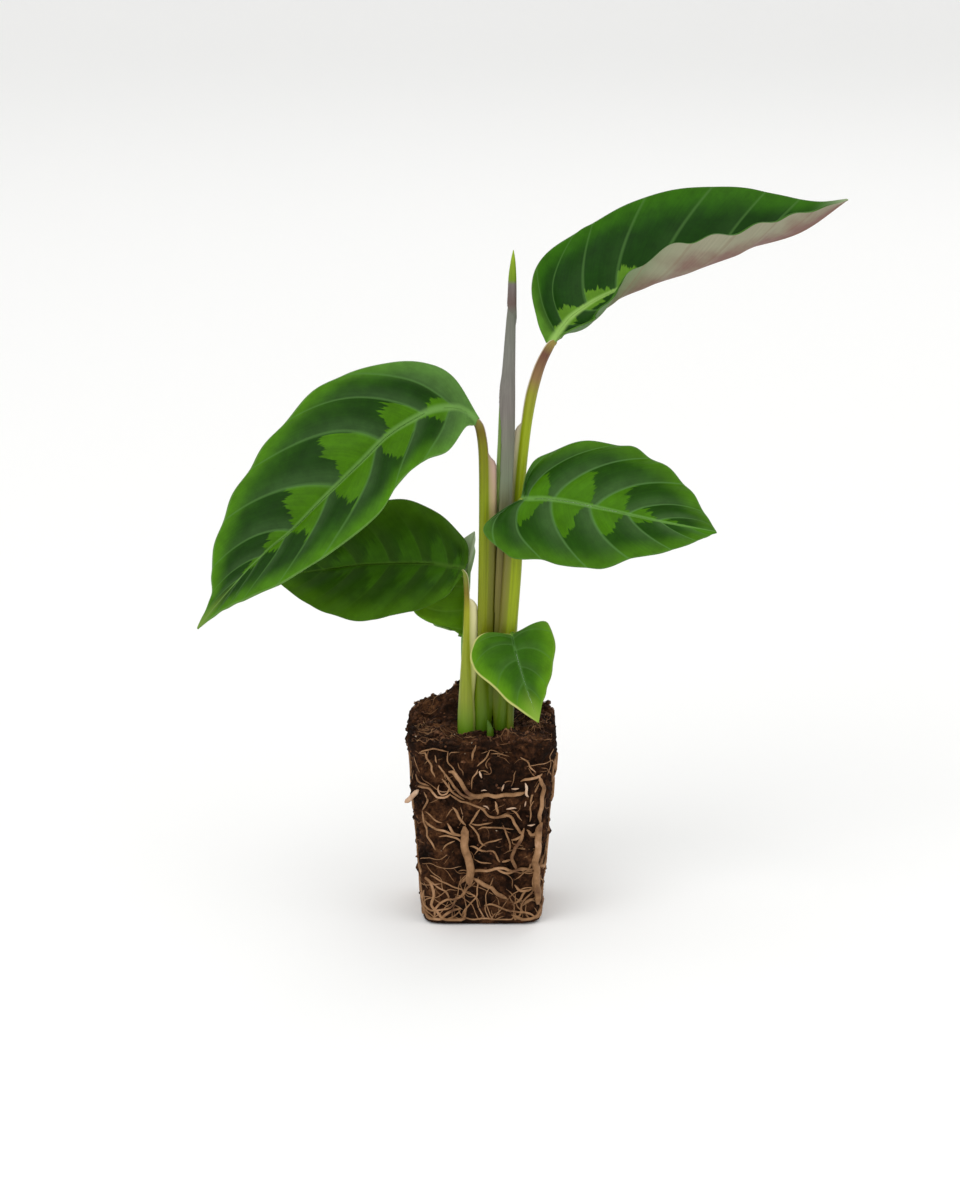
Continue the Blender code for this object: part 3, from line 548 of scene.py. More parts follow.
def blade_half(name, side):
    """Points of one half of a blade, and its vein numbers, shares across and widths, [column][row]."""
    ribs, plan = RIBS[name], BLADES[name]
    columns, cells = plan["cells"]
    last = len(ribs) - 1
    places = np.linspace(0, last, columns + 1)
    margins = smooth(ribs, places)
    middle, margin = margins[:, 1], margins[:, 2 * side]
    forward = unit(np.gradient(middle, axis=0))
    share = (places / last)[:, None]
    fade = np.minimum(1, 4 * (1 - share)) * np.minimum(1, 6 * share)
    reach = margin - middle
    width = np.linalg.norm(reach, axis=1, keepdims=True)
    upward = unit(np.cross(reach * (2 * side - 1), forward))
    bend, (inner_ridge, outer_ridge) = plan["arch"][side], plan["ridges"][side]
    rows, veins, widths = [], [], []
    for row in range(cells + 1):
        v = row / cells
        number = vein_numbers(places, last, VEINS[name][side], v)[:, None]
        pillow = np.abs(np.sin(math.pi * number)) ** (0.7 + 1.1 * v) - 0.55
        dome = 4 * v * (1 - v) * width * fade
        crest = (inner_ridge + (outer_ridge - inner_ridge) * v * v) * fade * pillow * min(1.0, 3 * v)
        out = v * (1 + plan["scallops"][side] * fade * pillow * v)
        groove = 0.12 * np.exp(-((v * width / 0.5) ** 2)) * np.minimum(1, 5 * (1 - share))
        rise = bend * dome + crest + BLADE_LIFT - groove
        rows.append(middle + reach * out + upward * rise - forward * VEIN_BOW * dome)
        veins.append(np.concatenate([number + RIGHT_HALF * side, np.full_like(number, v)], axis=1))
        widths.append(np.concatenate([width * v, width * (1 - v)], axis=1))
    return np.stack(rows, axis=1), np.stack(veins, axis=1), np.stack(widths, axis=1), share[:, 0]


def blade(name, faces):
    """One leaf's blade: two grids that meet at the midrib, with a keel under it."""
    bm = bmesh.new()
    keel = bm.verts.layers.deform.verify()
    for side in (0, 1):
        points, veins, widths, share = blade_half(name, side)
        places = laid_grid(bm, points, {"veins": veins, "edges": widths})
        least = BLADE_THICKNESS / KEEL
        for vert, (column, row) in places.items():
            near = math.exp(-((widths[column, row, 0] / KEEL_WIDTH) ** 2))
            vert[keel][0] = least + (1 - least) * near * (1 - share[column]) ** 0.8
    bmesh.ops.remove_doubles(bm, verts=bm.verts, dist=WELD)
    bmesh.ops.recalc_face_normals(bm, faces=bm.faces)
    ribs = np.asarray(RIBS[name])
    middle = len(ribs) // 2
    upward = Vector(np.cross(ribs[middle, 2] - ribs[middle, 0], ribs[middle + 1, 1] - ribs[middle, 1]))
    if sum((face.normal * face.calc_area() for face in bm.faces), Vector()).dot(upward) < 0:
        bmesh.ops.reverse_faces(bm, faces=bm.faces)
    made = piece(bm, f"{name}_blade", faces, [name])
    made.vertex_groups.new(name="keel")
    thick = made.modifiers.new("thickness", "SOLIDIFY")
    thick.thickness = KEEL * MM
    thick.offset = -1
    thick.vertex_group = "keel"
    thick.material_offset = 1
    thick.material_offset_rim = 0
    return made


# Stalks, spear and bud


def tube_points(path, rings, sides, turn, radius_at):
    """Points of a closed tube along a path of x, y, z and radius, [ring][side], with a pole at each end."""
    rows = smooth(path, np.linspace(0, len(path) - 1, rings))
    tangents = unit(np.gradient(rows[:, :3], axis=0))
    back = np.array([0.0, 1.0, 0.0])
    second = unit(back - tangents * (tangents @ back)[:, None])
    first = np.cross(second, tangents)
    angles = np.linspace(0, math.tau, sides + 1)
    reach = radius_at(rows, angles)
    around = turn[:, None] + angles[None, :]
    points = (
        rows[:, None, :3]
        + first[:, None] * (reach * np.cos(around))[:, :, None]
        + second[:, None] * (reach * np.sin(around))[:, :, None]
    )
    poles = [np.repeat(rows[end, None, None, :3], sides + 1, axis=1) for end in (0, -1)]
    points = np.concatenate([poles[0], points, poles[1]])
    heights = np.concatenate([rows[:1, 2], rows[:, 2], rows[-1:, 2]])
    skin = np.stack(np.broadcast_arrays((angles / math.tau)[None, :], heights[:, None]), axis=-1)
    return points, skin


def closed_tube(points, skin):
    """A bmesh of a tube whose seam and poles are closed."""
    bm = bmesh.new()
    laid_grid(bm, points, {"skin": skin})
    bmesh.ops.remove_doubles(bm, verts=bm.verts, dist=WELD)
    bmesh.ops.recalc_face_normals(bm, faces=bm.faces)
    return bm


def stalk_bmesh(name):
    """A stalk with its sheath's thin wing, which side 0 of every ring carries."""
    direction, start, end, width = SHEATHS.get(name, (0.0, 0.0, 1.0, 0.0))

    def radius_at(rows, angles):
        grown = np.clip((rows[:, 2] - start) / SHEATH_START, 0, 1)
        rounded = np.sqrt(np.clip((end - rows[:, 2]) / SHEATH_END, 0, 1))
        away = np.minimum(angles, math.tau - angles)
        wing = np.exp(-((away / SHEATH_SPREAD) ** 2))
        return rows[:, 3:] + (width * grown * rounded)[:, None] * wing[None, :]

    turn = np.full(STALK_RINGS, math.radians(direction))
    return closed_tube(*tube_points(STALKS[name], STALK_RINGS, STALK_SIDES, turn, radius_at))


def spear_bmesh():
    """The youngest leaf, rolled up: its outer edge stands proud along a line that winds round the spear."""

    def from_seam(heights, angles):
        seam = np.radians(np.interp(heights, *zip(*SPEAR_SEAM)))
        share = np.mod(angles[None, :-1] - seam[:, None], math.tau) / math.tau
        return np.concatenate([share, share[:, :1]], axis=1)

    def radius_at(rows, angles):
        return rows[:, 3:] * (1 - SPEAR_LAP * from_seam(rows[:, 2], angles))

    points, skin = tube_points(SPEAR, SPEAR_RINGS, SPEAR_SIDES, np.zeros(SPEAR_RINGS), radius_at)
    skin[:, :, 0] = from_seam(skin[:, 0, 1], np.linspace(0, math.tau, SPEAR_SIDES + 1))
    return closed_tube(points, skin)


def bud_bmesh():
    path = [(x + BUD_PLACE[0], y + BUD_PLACE[1], z, radius) for x, y, z, radius in BUD]

    def radius_at(rows, angles):
        return rows[:, 3:] * (1 + 0.08 * np.cos(3 * angles))[None, :]

    return closed_tube(*tube_points(path, 24, 20, np.zeros(24), radius_at))


# The plug


def plug_half(z):
    return PLUG_HALF_BASE + (PLUG_HALF_TOP - PLUG_HALF_BASE) * min(z / PLUG_HEIGHT, 1.0)


def plug_side(angle, z, out=0.0):
    """A point on the plug's side, or out from it. The angle is in radians from -Y towards +X."""
    n = PLUG_SQUARENESS
    across, deep = math.sin(angle), -math.cos(angle)
    reach = plug_half(z) / (abs(across) ** n + abs(deep) ** n) ** (1 / n)
    x, y = reach * across, reach * deep
    outward = Vector((math.copysign(abs(x) ** (n - 1), x), math.copysign(abs(y) ** (n - 1), y), 0)).normalized()
    return Vector((x, y, z)) + outward * out


def soil_top(x, y):
    """Height of the peat at a place on the plug's top, before it is crumbled."""
    height = PLUG_HEIGHT
    for lump_x, lump_y, rise, radius in LUMPS:
        height += rise * math.exp(-((x - lump_x) ** 2 + (y - lump_y) ** 2) / radius**2)
    return height


def crumble(place):
    """How far the peat stands proud of its form, or lies back, at a place."""
    return sum(depth * noise.noise(place * waves + Vector((3.1, 0.7, waves))) for depth, waves in CRUMBLE)


def peat_bmesh():
    bm = bmesh.new()
    bmesh.ops.create_cube(bm, size=2)
    bmesh.ops.subdivide_edges(bm, edges=bm.edges, cuts=PLUG_CUTS, use_grid_fill=True)
    for vert in bm.verts:
        across, deep, up = vert.co
        spread = max(abs(across), abs(deep))
        angle = math.atan2(across, -deep)
        height = (up + 1) / 2
        side = plug_side(angle, PLUG_HEIGHT * height)
        x, y = side.x * spread, side.y * spread
        top = soil_top(x, y)
        if math.isclose(height, 1):
            place = Vector((x, y, top - RIM_DROP * spread**RIM_TIGHTNESS))
            vert.co = place + Vector((0, 0, crumble(place)))
        elif math.isclose(height, 0, abs_tol=1e-6):
            shrink = 1 - BASE_CHAMFER / PLUG_HALF_BASE * spread**8
            vert.co = (x * shrink, y * shrink, 0)
        else:
            lean = min(1.0, 4 * height)
            vert.co = plug_side(angle, top * height, (crumble(side) - 0.45) * lean)
    bmesh.ops.recalc_face_normals(bm, faces=bm.faces)
    return bm


def crumbs_bmesh(draw, count, sizes, on_top):
    """Crumbs scattered over the plug, each a lump of twenty faces; on_top is the share that lies on the top."""
    bm = bmesh.new()
    for _ in range(count):
        size = draw.uniform(*sizes) * draw.choice((0.6, 0.8, 1.0))
        if draw.random() < on_top:
            x = draw.uniform(-1, 1) * (PLUG_HALF_TOP - 1.2)
            y = draw.uniform(-1, 1) * (PLUG_HALF_TOP - 1.2)
            place = Vector((x, y, soil_top(x, y) - 0.1))
            place.z += crumble(place)
        else:
            z = 1.5 + 37 * draw.random()
            place = plug_side(draw.uniform(-math.pi, math.pi), z, -0.1)
            place += (place - Vector((0, 0, z))).normalized() * (crumble(place) - 0.45)
        made = bmesh.ops.create_icosphere(bm, subdivisions=1, radius=size)["verts"]
        stretch = Vector((draw.uniform(0.6, 1.3), draw.uniform(0.6, 1.3), draw.uniform(0.5, 1.0)))
        turn = draw.uniform(0, math.tau)
        cosine, sine = math.cos(turn), math.sin(turn)
        for vert in made:
            x, y, z = vert.co * draw.uniform(0.75, 1.1)
            x, y, z = x * stretch.x, y * stretch.y, z * stretch.z
            vert.co = place + Vector((x * cosine - y * sine, x * sine + y * cosine, z))
    return bm


def strands(name, lines, finish, stands_for=()):
    """Thin round strands along lines of (radius, points), all in one piece."""
    curve = bpy.data.curves.new(name, "CURVE")
    curve.dimensions = "3D"
    curve.bevel_depth = MM
    curve.bevel_resolution = 2
    curve.use_fill_caps = True
    for radius, line in lines:
        spline = curve.splines.new("POLY")
        spline.points.add(len(line) - 1)
        last = len(line) - 1
        for number, place in enumerate(line):
            taper = min(1.0, 0.3 + 0.35 * min(number, last - number))
            spline.points[number].co = (*(Vector(place) * MM), 1)
            spline.points[number].radius = radius * taper
    drawn = bpy.data.objects.new(name, curve)
    bpy.context.scene.collection.objects.link(drawn)
    graph = bpy.context.evaluated_depsgraph_get()
    graph.update()
    mesh = bpy.data.meshes.new_from_object(drawn.evaluated_get(graph))
    bpy.data.objects.remove(drawn, do_unlink=True)
    bm = bmesh.new()
    bm.from_mesh(mesh)
    bmesh.ops.remove_doubles(bm, verts=bm.verts, dist=WELD * MM)
    bmesh.ops.recalc_face_normals(bm, faces=bm.faces)
    bmesh.ops.scale(bm, vec=(1 / MM, 1 / MM, 1 / MM), verts=bm.verts)
    return piece(bm, name, [finish], stands_for)


def laid_root(radius, corners, lift, step):
    """Points of a root that lies on the plug along corners of angle and height, and wiggles a little."""
    fine = smooth(corners, np.linspace(0, len(corners) - 1, 10 * len(corners)))
    line = []
    for angle, z in fine:
        place = plug_side(angle, z, 0.0)
        wiggle = noise.noise(place * 0.45 + Vector((radius * 90, 0, 0)))
        sway = noise.noise(place * 0.45 + Vector((0, radius * 90, 7)))
        z = max(z + sway * 0.5, ROOT_LOWEST)
        place = plug_side(angle + wiggle * 0.03, z, ROOT_BEDDED + radius * 0.6 + lift)
        if not line or (place - line[-1]).length > step:
            line.append(place)
    return line


def on_face(corners):
    """Turns a route in pixels of the photograph into angles and heights on the plug's front."""
    route = []
    for column, row in corners:
        z = PLUG_HEIGHT * (FACE_BASE_ROW - row) / (FACE_BASE_ROW - FACE_TOP_ROW)
        x = (column - PHOTO_MIDDLE) / FACE_SCALE
        route.append((math.atan2(x, plug_half(z)), z))
    return route


def wander(draw, length, step, lowest, highest, turn):
    """Corners of a root that wanders over the plug's sides, as angle and height."""
    angle = draw.uniform(-math.pi, math.pi)
    z = lowest + (highest - lowest) * draw.random() ** 1.25
    heading = draw.uniform(0, math.tau)
    corners = []
    for _ in range(length):
        corners.append((angle, min(max(z, ROOT_LOWEST), highest)))
        heading += draw.uniform(-turn, turn)
        angle += step / PLUG_HALF_TOP * math.cos(heading)
        z += step * math.sin(heading)
        if z < ROOT_LOWEST or z > highest:
            heading = -heading
    return corners


def in_front(corners):
    return any(abs(angle) < math.pi / 4 and z > TRACED_ABOVE for angle, z in corners)


def root_lines(draw):
    """Radius and points of every root: the ones seen at the front, then those laid by the seeded rule."""
    lines = []
    for radius, corners in FRONT_ROOTS:
        lines.append((radius, laid_root(radius, on_face(corners), draw.uniform(0.1, 0.35), 0.45)))
    for _ in range(SIDE_ROOTS):
        radius = draw.choice(SIDE_RADII)
        route = wander(draw, draw.randint(5, 11), 2.6, ROOT_LOWEST, ROOT_HIGHEST, 0.75)
        if not in_front(route):
            lines.append((radius, laid_root(radius, route, draw.uniform(0, 0.3), 0.5)))
    for _ in range(HAIR_ROOTS):
        radius = draw.choice(HAIR_RADII)
        route = wander(draw, draw.randint(3, 6), 2.2, ROOT_LOWEST, ROOT_HIGHEST + 3, 0.9)
        if draw.random() < FRONT_HAIRS or not in_front(route):
            lines.append((radius, laid_root(radius, route, draw.uniform(0.05, 0.3), 0.4)))
    return [(radius, line) for radius, line in lines if len(line) > 2]


def tip_lines(draw):
    """The short pale tips on the face, and the one that sticks out."""
    lines = [
        (radius, laid_root(radius, on_face(corners), draw.uniform(0.3, 0.5), 0.35))
        for radius, corners in PALE_TIPS
    ]
    radius, points = LOOSE_TIP
    curved = smooth(points, np.linspace(0, len(points) - 1, 12))
    return lines + [(radius, [Vector(point) for point in curved])]


def fibre_lines(draw):
    """Short curled fibres of peat, on the top and at the sides."""
    lines = []
    for _ in range(FIBRES):
        radius = draw.choice((0.05, 0.07, 0.1))
        if draw.random() < TOP_FIBRES:
            x = draw.uniform(-1, 1) * (PLUG_HALF_TOP - 1.5)
            y = draw.uniform(-1, 1) * (PLUG_HALF_TOP - 1.5)
            heading = draw.uniform(0, math.tau)
            line = []
            for _ in range(8):
                place = Vector((x, y, soil_top(x, y)))
                line.append(place + Vector((0, 0, crumble(place) + 0.1 + draw.uniform(0, 0.12))))
                heading += draw.uniform(-0.7, 0.7)
                x = max(min(x + 0.5 * math.cos(heading), PLUG_HALF_TOP - 1), 1 - PLUG_HALF_TOP)
                y = max(min(y + 0.5 * math.sin(heading), PLUG_HALF_TOP - 1), 1 - PLUG_HALF_TOP)
        else:
            line = laid_root(radius, wander(draw, 4, 1.1, 2.0, 38.0, 1.0), 0.1, 0.3)
        if len(line) > 2:
            lines.append((radius, line))
    return lines


# Finishes


def leaf_face(name, look, feathers):
    """Living calathea leaf, upper face: a waxy skin with a soft gloss.

    Light feathers start at the midrib on the far side of each side vein. Beyond them the blade is dark, and it
    lightens towards its margin. A painted grey-green sheen, a painted reflection of the room's light, lies
    along the near side of each vein.
    """
    made, tree, shader = new_material(name)
    veins = add(tree, "ShaderNodeUVMap", uv_map="veins")
    split = add(tree, "ShaderNodeSeparateXYZ", {0: veins}).node.outputs
    across = split[1]
    number = add(tree, "ShaderNodeMath", {0: split[0], 1: float(RIGHT_HALF)}, operation="MODULO")
    between = add(tree, "ShaderNodeMath", {0: split[0]}, operation="FRACT")
    edges = add(tree, "ShaderNodeUVMap", uv_map="edges")
    millimetres = add(tree, "ShaderNodeSeparateXYZ", {0: edges}).node.outputs
    object_place = add(tree, "ShaderNodeTexCoord", out="Object")

    # Each feather runs along its vein as far as the leaf's list says, and narrows towards the next vein. Its
    # teeth are about 1.5 mm wide
    placed = add(tree, "ShaderNodeMath", {0: split[0], 1: 2.0 * RIGHT_HALF}, operation="DIVIDE")
    size = add(tree, "ShaderNodeValToRGB", {0: placed})
    reaches = size.node.color_ramp
    reaches.interpolation = "CONSTANT"
    for side, listed in enumerate(feathers):
        for place, reach in enumerate(listed):
            position = (place + RIGHT_HALF * side) / (2 * RIGHT_HALF)
            stop = reaches.elements[0] if position == 0 else reaches.elements.new(position)
            stop.color = (reach, reach, reach, 1)
    reaches.elements[-1].color = (0, 0, 0, 1)
    stretched = add(tree, "ShaderNodeVectorMath", {0: veins, 1: (4.6, 1.5, 0.0)}, operation="MULTIPLY")
    teeth = add(
        tree, "ShaderNodeTexNoise", {"Vector": stretched, "Scale": 1.0, "Detail": 4.0, "Roughness": 0.72}
    )
    run = add(tree, "ShaderNodeMath", {0: between, 1: look["feather_run"]}, operation="DIVIDE")
    narrowed = add(tree, "ShaderNodeMath", {0: run, 1: 1.6}, operation="POWER")
    curve = add(tree, "ShaderNodeMath", {0: 1.0, 1: narrowed}, operation="SUBTRACT", use_clamp=True)
    edge = add(tree, "ShaderNodeMath", {0: curve, 1: size}, operation="MULTIPLY")
    tooth = add(tree, "ShaderNodeMapRange", {0: teeth, 1: 0.3, 2: 0.7, 3: -look["teeth"], 4: look["teeth"]})
    toothed = add(tree, "ShaderNodeMath", {0: edge, 1: tooth}, operation="ADD")
    inside = add(tree, "ShaderNodeMath", {0: toothed, 1: across}, operation="SUBTRACT")
    soft = look["softness"]
    feather = add(tree, "ShaderNodeMapRange", {0: inside, 1: -soft, 2: soft}, interpolation_type="SMOOTHSTEP")
    shown = add(tree, "ShaderNodeMapRange", {0: size, 1: 0.02, 2: 0.1})
    feather = add(tree, "ShaderNodeMath", {0: feather, 1: shown}, operation="MULTIPLY")

    # The ground runs from dark to mid green at the margin
    cloud = add(tree, "ShaderNodeTexNoise", {"Vector": object_place, "Scale": 120.0, "Detail": 3.0})
    shifted = add(tree, "ShaderNodeMapRange", {0: cloud, 1: 0.3, 2: 0.7, 3: -0.12, 4: 0.12})
    outward = add(tree, "ShaderNodeMath", {0: across, 1: shifted}, operation="ADD")
    to_margin = add(
        tree,
        "ShaderNodeMapRange",
        {0: outward, 1: look["dark_zone"][0], 2: look["dark_zone"][1]},
        interpolation_type="SMOOTHSTEP",
    )
    ground = add(
        tree,
        "ShaderNodeMix",
        {0: to_margin, 6: linear(look["dark"]), 7: linear(look["mid"])},
        out=2,
        data_type="RGBA",
    )
    fringed = add(
        tree,
        "ShaderNodeMapRange",
        {0: millimetres[1], 1: 0.0, 2: look["fringe_width"], 3: 1.0, 4: 0.0},
        interpolation_type="SMOOTHSTEP",
    )
    ground = add(
        tree, "ShaderNodeMix", {0: fringed, 6: ground, 7: linear(look["fringe"])}, out=2, data_type="RGBA"
    )
    # Painted sheen: a grey-green band along the near side of each vein, a painted reflection of the room's
    # light where the blade's ridges would catch it
    nearing = add(tree, "ShaderNodeMapRange", {0: between, 1: 0.5, 2: 0.93}, interpolation_type="SMOOTHSTEP")
    inner = add(tree, "ShaderNodeMapRange", {0: across, 1: 0.45, 2: 0.95, 3: look["painted_sheen_share"], 4: 0.0})
    painted_sheen = add(tree, "ShaderNodeMath", {0: nearing, 1: inner}, operation="MULTIPLY")
    ground = add(
        tree, "ShaderNodeMix", {0: painted_sheen, 6: ground, 7: linear(look["painted_sheen"])}, out=2, data_type="RGBA"
    )
    colour = add(
        tree, "ShaderNodeMix", {0: feather, 6: ground, 7: linear(look["feather"])}, out=2, data_type="RGBA"
    )
    low = add(
        tree,
        "ShaderNodeMapRange",
        {0: number, 1: 0.3, 2: 1.3, 3: look["base_share"], 4: 0.0},
        interpolation_type="SMOOTHSTEP",
    )
    colour = add(tree, "ShaderNodeMix", {0: low, 6: colour, 7: linear(look["base"])}, out=2, data_type="RGBA")

    # Fine parallel veins, about 0.5 mm apart
    lines = add(tree, "ShaderNodeVectorMath", {0: veins, 1: (18.0, 1.1, 0.0)}, operation="MULTIPLY")
    streaks = add(
        tree, "ShaderNodeTexNoise", {"Vector": lines, "Scale": 1.0, "Detail": 2.0, "Roughness": 0.7}
    )
    streak = add(tree, "ShaderNodeMapRange", {0: streaks, 1: 0.35, 2: 0.65, 3: 0.94, 4: 1.06})
    # Lighter and darker places about 3 mm across: painted soft highlights and shade that stand in for the gloss
    # on the blade's low relief
    mottle = add(
        tree, "ShaderNodeTexNoise", {"Vector": object_place, "Scale": 330.0, "Detail": 5.0, "Roughness": 0.6}
    )
    painted_soft_light = add(tree, "ShaderNodeMapRange", {0: mottle, 1: 0.3, 2: 0.7, 3: 0.82, 4: 1.18})
    tone = add(tree, "ShaderNodeMath", {0: streak, 1: painted_soft_light}, operation="MULTIPLY")
    colour = add(tree, "ShaderNodeVectorMath", {0: colour, 3: tone}, operation="SCALE")

    # Side veins, the midrib and the margin are pale lines
    to_vein = add(tree, "ShaderNodeMath", {0: between, 1: 1.0}, operation="PINGPONG")
    folded = add(tree, "ShaderNodeMath", {0: 1.0, 1: to_vein}, operation="SUBTRACT")
    nearest = add(tree, "ShaderNodeMath", {0: to_vein, 1: folded}, operation="MINIMUM")
    thin = add(tree, "ShaderNodeMapRange", {0: across, 1: 0.0, 2: 1.0, 3: 0.06, 4: 0.035})
    near = add(tree, "ShaderNodeMath", {0: nearest, 1: thin}, operation="DIVIDE")
    line = add(
        tree,
        "ShaderNodeMapRange",
        {0: near, 1: 0.1, 2: 1.3, 3: look["vein_share"], 4: 0.0},
        interpolation_type="SMOOTHSTEP",
    )
    colour = add(
        tree, "ShaderNodeMix", {0: line, 6: colour, 7: linear(look["vein"])}, out=2, data_type="RGBA"
    )
    rib_width = add(tree, "ShaderNodeMapRange", {0: number, 1: 0.0, 2: 8.0, 3: look["rib_width"], 4: 0.22})
    to_rib = add(tree, "ShaderNodeMath", {0: millimetres[0], 1: rib_width}, operation="DIVIDE")
    rib = add(
        tree,
        "ShaderNodeMapRange",
        {0: to_rib, 1: 0.2, 2: 1.3, 3: look["rib_share"], 4: 0.0},
        interpolation_type="SMOOTHSTEP",
    )
    colour = add(
        tree, "ShaderNodeMix", {0: rib, 6: colour, 7: linear(look["midrib"])}, out=2, data_type="RGBA"
    )
    rim = add(
        tree,
        "ShaderNodeMapRange",
        {0: millimetres[1], 1: look["rim_width"] * 0.3, 2: look["rim_width"], 3: look["rim_share"], 4: 0.0},
        interpolation_type="SMOOTHSTEP",
    )
    on_right = add(tree, "ShaderNodeMath", {0: split[0], 1: float(RIGHT_HALF)}, operation="GREATER_THAN")
    rimmed = add(tree, "ShaderNodeMapRange", {0: on_right, 3: look["left_rim"], 4: 1.0})
    rim = add(tree, "ShaderNodeMath", {0: rim, 1: rimmed}, operation="MULTIPLY")
    colour = add(tree, "ShaderNodeMix", {0: rim, 6: colour, 7: linear(look["rim"])}, out=2, data_type="RGBA")
    tip = add(
        tree,
        "ShaderNodeMapRange",
        {0: number, 1: look["tip_starts"], 2: look["tip_starts"] + 1.2},
        interpolation_type="SMOOTHSTEP",
    )
    colour = add(tree, "ShaderNodeMix", {0: tip, 6: colour, 7: linear(look["tip"])}, out=2, data_type="RGBA")
    tree.links.new(colour, shader.inputs["Base Color"])

    gloss = add(tree, "ShaderNodeMapRange", {0: cloud, 1: 0.3, 2: 0.7, 3: 0.42, 4: 0.56})
    tree.links.new(gloss, shader.inputs["Roughness"])
    shader.inputs["IOR"].default_value = 1.45
    shader.inputs["Specular IOR Level"].default_value = LEAF_GLOSS
    bump = add(tree, "ShaderNodeBump", {"Height": streaks, "Strength": 0.35, "Distance": 0.12 * MM})
    tree.links.new(bump, shader.inputs["Normal"])
    return made


def leaf_back(name, base, middle, margin, vein):
    """Living calathea leaf, underside: matt, flushed near the midrib and greener at its base and margin, where
    its lighter tone is partly a painted highlight of the lobes.
    """
    made, tree, shader = new_material(name)
    veins = add(tree, "ShaderNodeUVMap", uv_map="veins")
    split = add(tree, "ShaderNodeSeparateXYZ", {0: veins}).node.outputs
    number = add(tree, "ShaderNodeMath", {0: split[0], 1: float(RIGHT_HALF)}, operation="MODULO")
    between = add(tree, "ShaderNodeMath", {0: split[0]}, operation="FRACT")
    edges = add(tree, "ShaderNodeUVMap", uv_map="edges")
    millimetres = add(tree, "ShaderNodeSeparateXYZ", {0: edges}).node.outputs
    object_place = add(tree, "ShaderNodeTexCoord", out="Object")
    cloud = add(tree, "ShaderNodeTexNoise", {"Vector": object_place, "Scale": 160.0, "Detail": 4.0})
    shifted = add(tree, "ShaderNodeMapRange", {0: cloud, 1: 0.3, 2: 0.7, 3: -0.25, 4: 0.25})
    outward = add(tree, "ShaderNodeMath", {0: split[1], 1: shifted}, operation="ADD")
    # Towards the margin the colour is greener and lighter: greener in its own tone, and lighter as a painted
    # highlight on the upper parts of the lobes
    share = add(tree, "ShaderNodeMapRange", {0: outward, 1: 0.35, 2: 1.0}, interpolation_type="SMOOTHSTEP")
    colour = add(
        tree, "ShaderNodeMix", {0: share, 6: linear(middle), 7: linear(margin)}, out=2, data_type="RGBA"
    )
    low = add(
        tree,
        "ShaderNodeMapRange",
        {0: number, 1: 1.5, 2: 4.5, 3: 1.0, 4: 0.0},
        interpolation_type="SMOOTHSTEP",
    )
    colour = add(tree, "ShaderNodeMix", {0: low, 6: colour, 7: linear(base)}, out=2, data_type="RGBA")
    lines = add(tree, "ShaderNodeVectorMath", {0: veins, 1: (18.0, 1.1, 0.0)}, operation="MULTIPLY")
    streaks = add(
        tree, "ShaderNodeTexNoise", {"Vector": lines, "Scale": 1.0, "Detail": 2.0, "Roughness": 0.7}
    )
    streak = add(tree, "ShaderNodeMapRange", {0: streaks, 1: 0.35, 2: 0.65, 3: 0.93, 4: 1.06})
    colour = add(tree, "ShaderNodeVectorMath", {0: colour, 3: streak}, operation="SCALE")
    folded = add(tree, "ShaderNodeMath", {0: 1.0, 1: between}, operation="SUBTRACT")
    nearest = add(tree, "ShaderNodeMath", {0: between, 1: folded}, operation="MINIMUM")
    line = add(tree, "ShaderNodeMapRange", {0: nearest, 1: 0.01, 2: 0.06, 3: 0.3, 4: 0.0})
    rib = add(tree, "ShaderNodeMapRange", {0: millimetres[0], 1: 0.3, 2: 1.0, 3: 0.8, 4: 0.0})
    either = add(tree, "ShaderNodeMath", {0: line, 1: rib}, operation="MAXIMUM")
    colour = add(tree, "ShaderNodeMix", {0: either, 6: colour, 7: linear(vein)}, out=2, data_type="RGBA")
    tree.links.new(colour, shader.inputs["Base Color"])
    shader.inputs["Roughness"].default_value = 0.6
    shader.inputs["Specular IOR Level"].default_value = LEAF_GLOSS
    bump = add(tree, "ShaderNodeBump", {"Height": streaks, "Strength": 0.3, "Distance": 0.12 * MM})
    tree.links.new(bump, shader.inputs["Normal"])
    return made


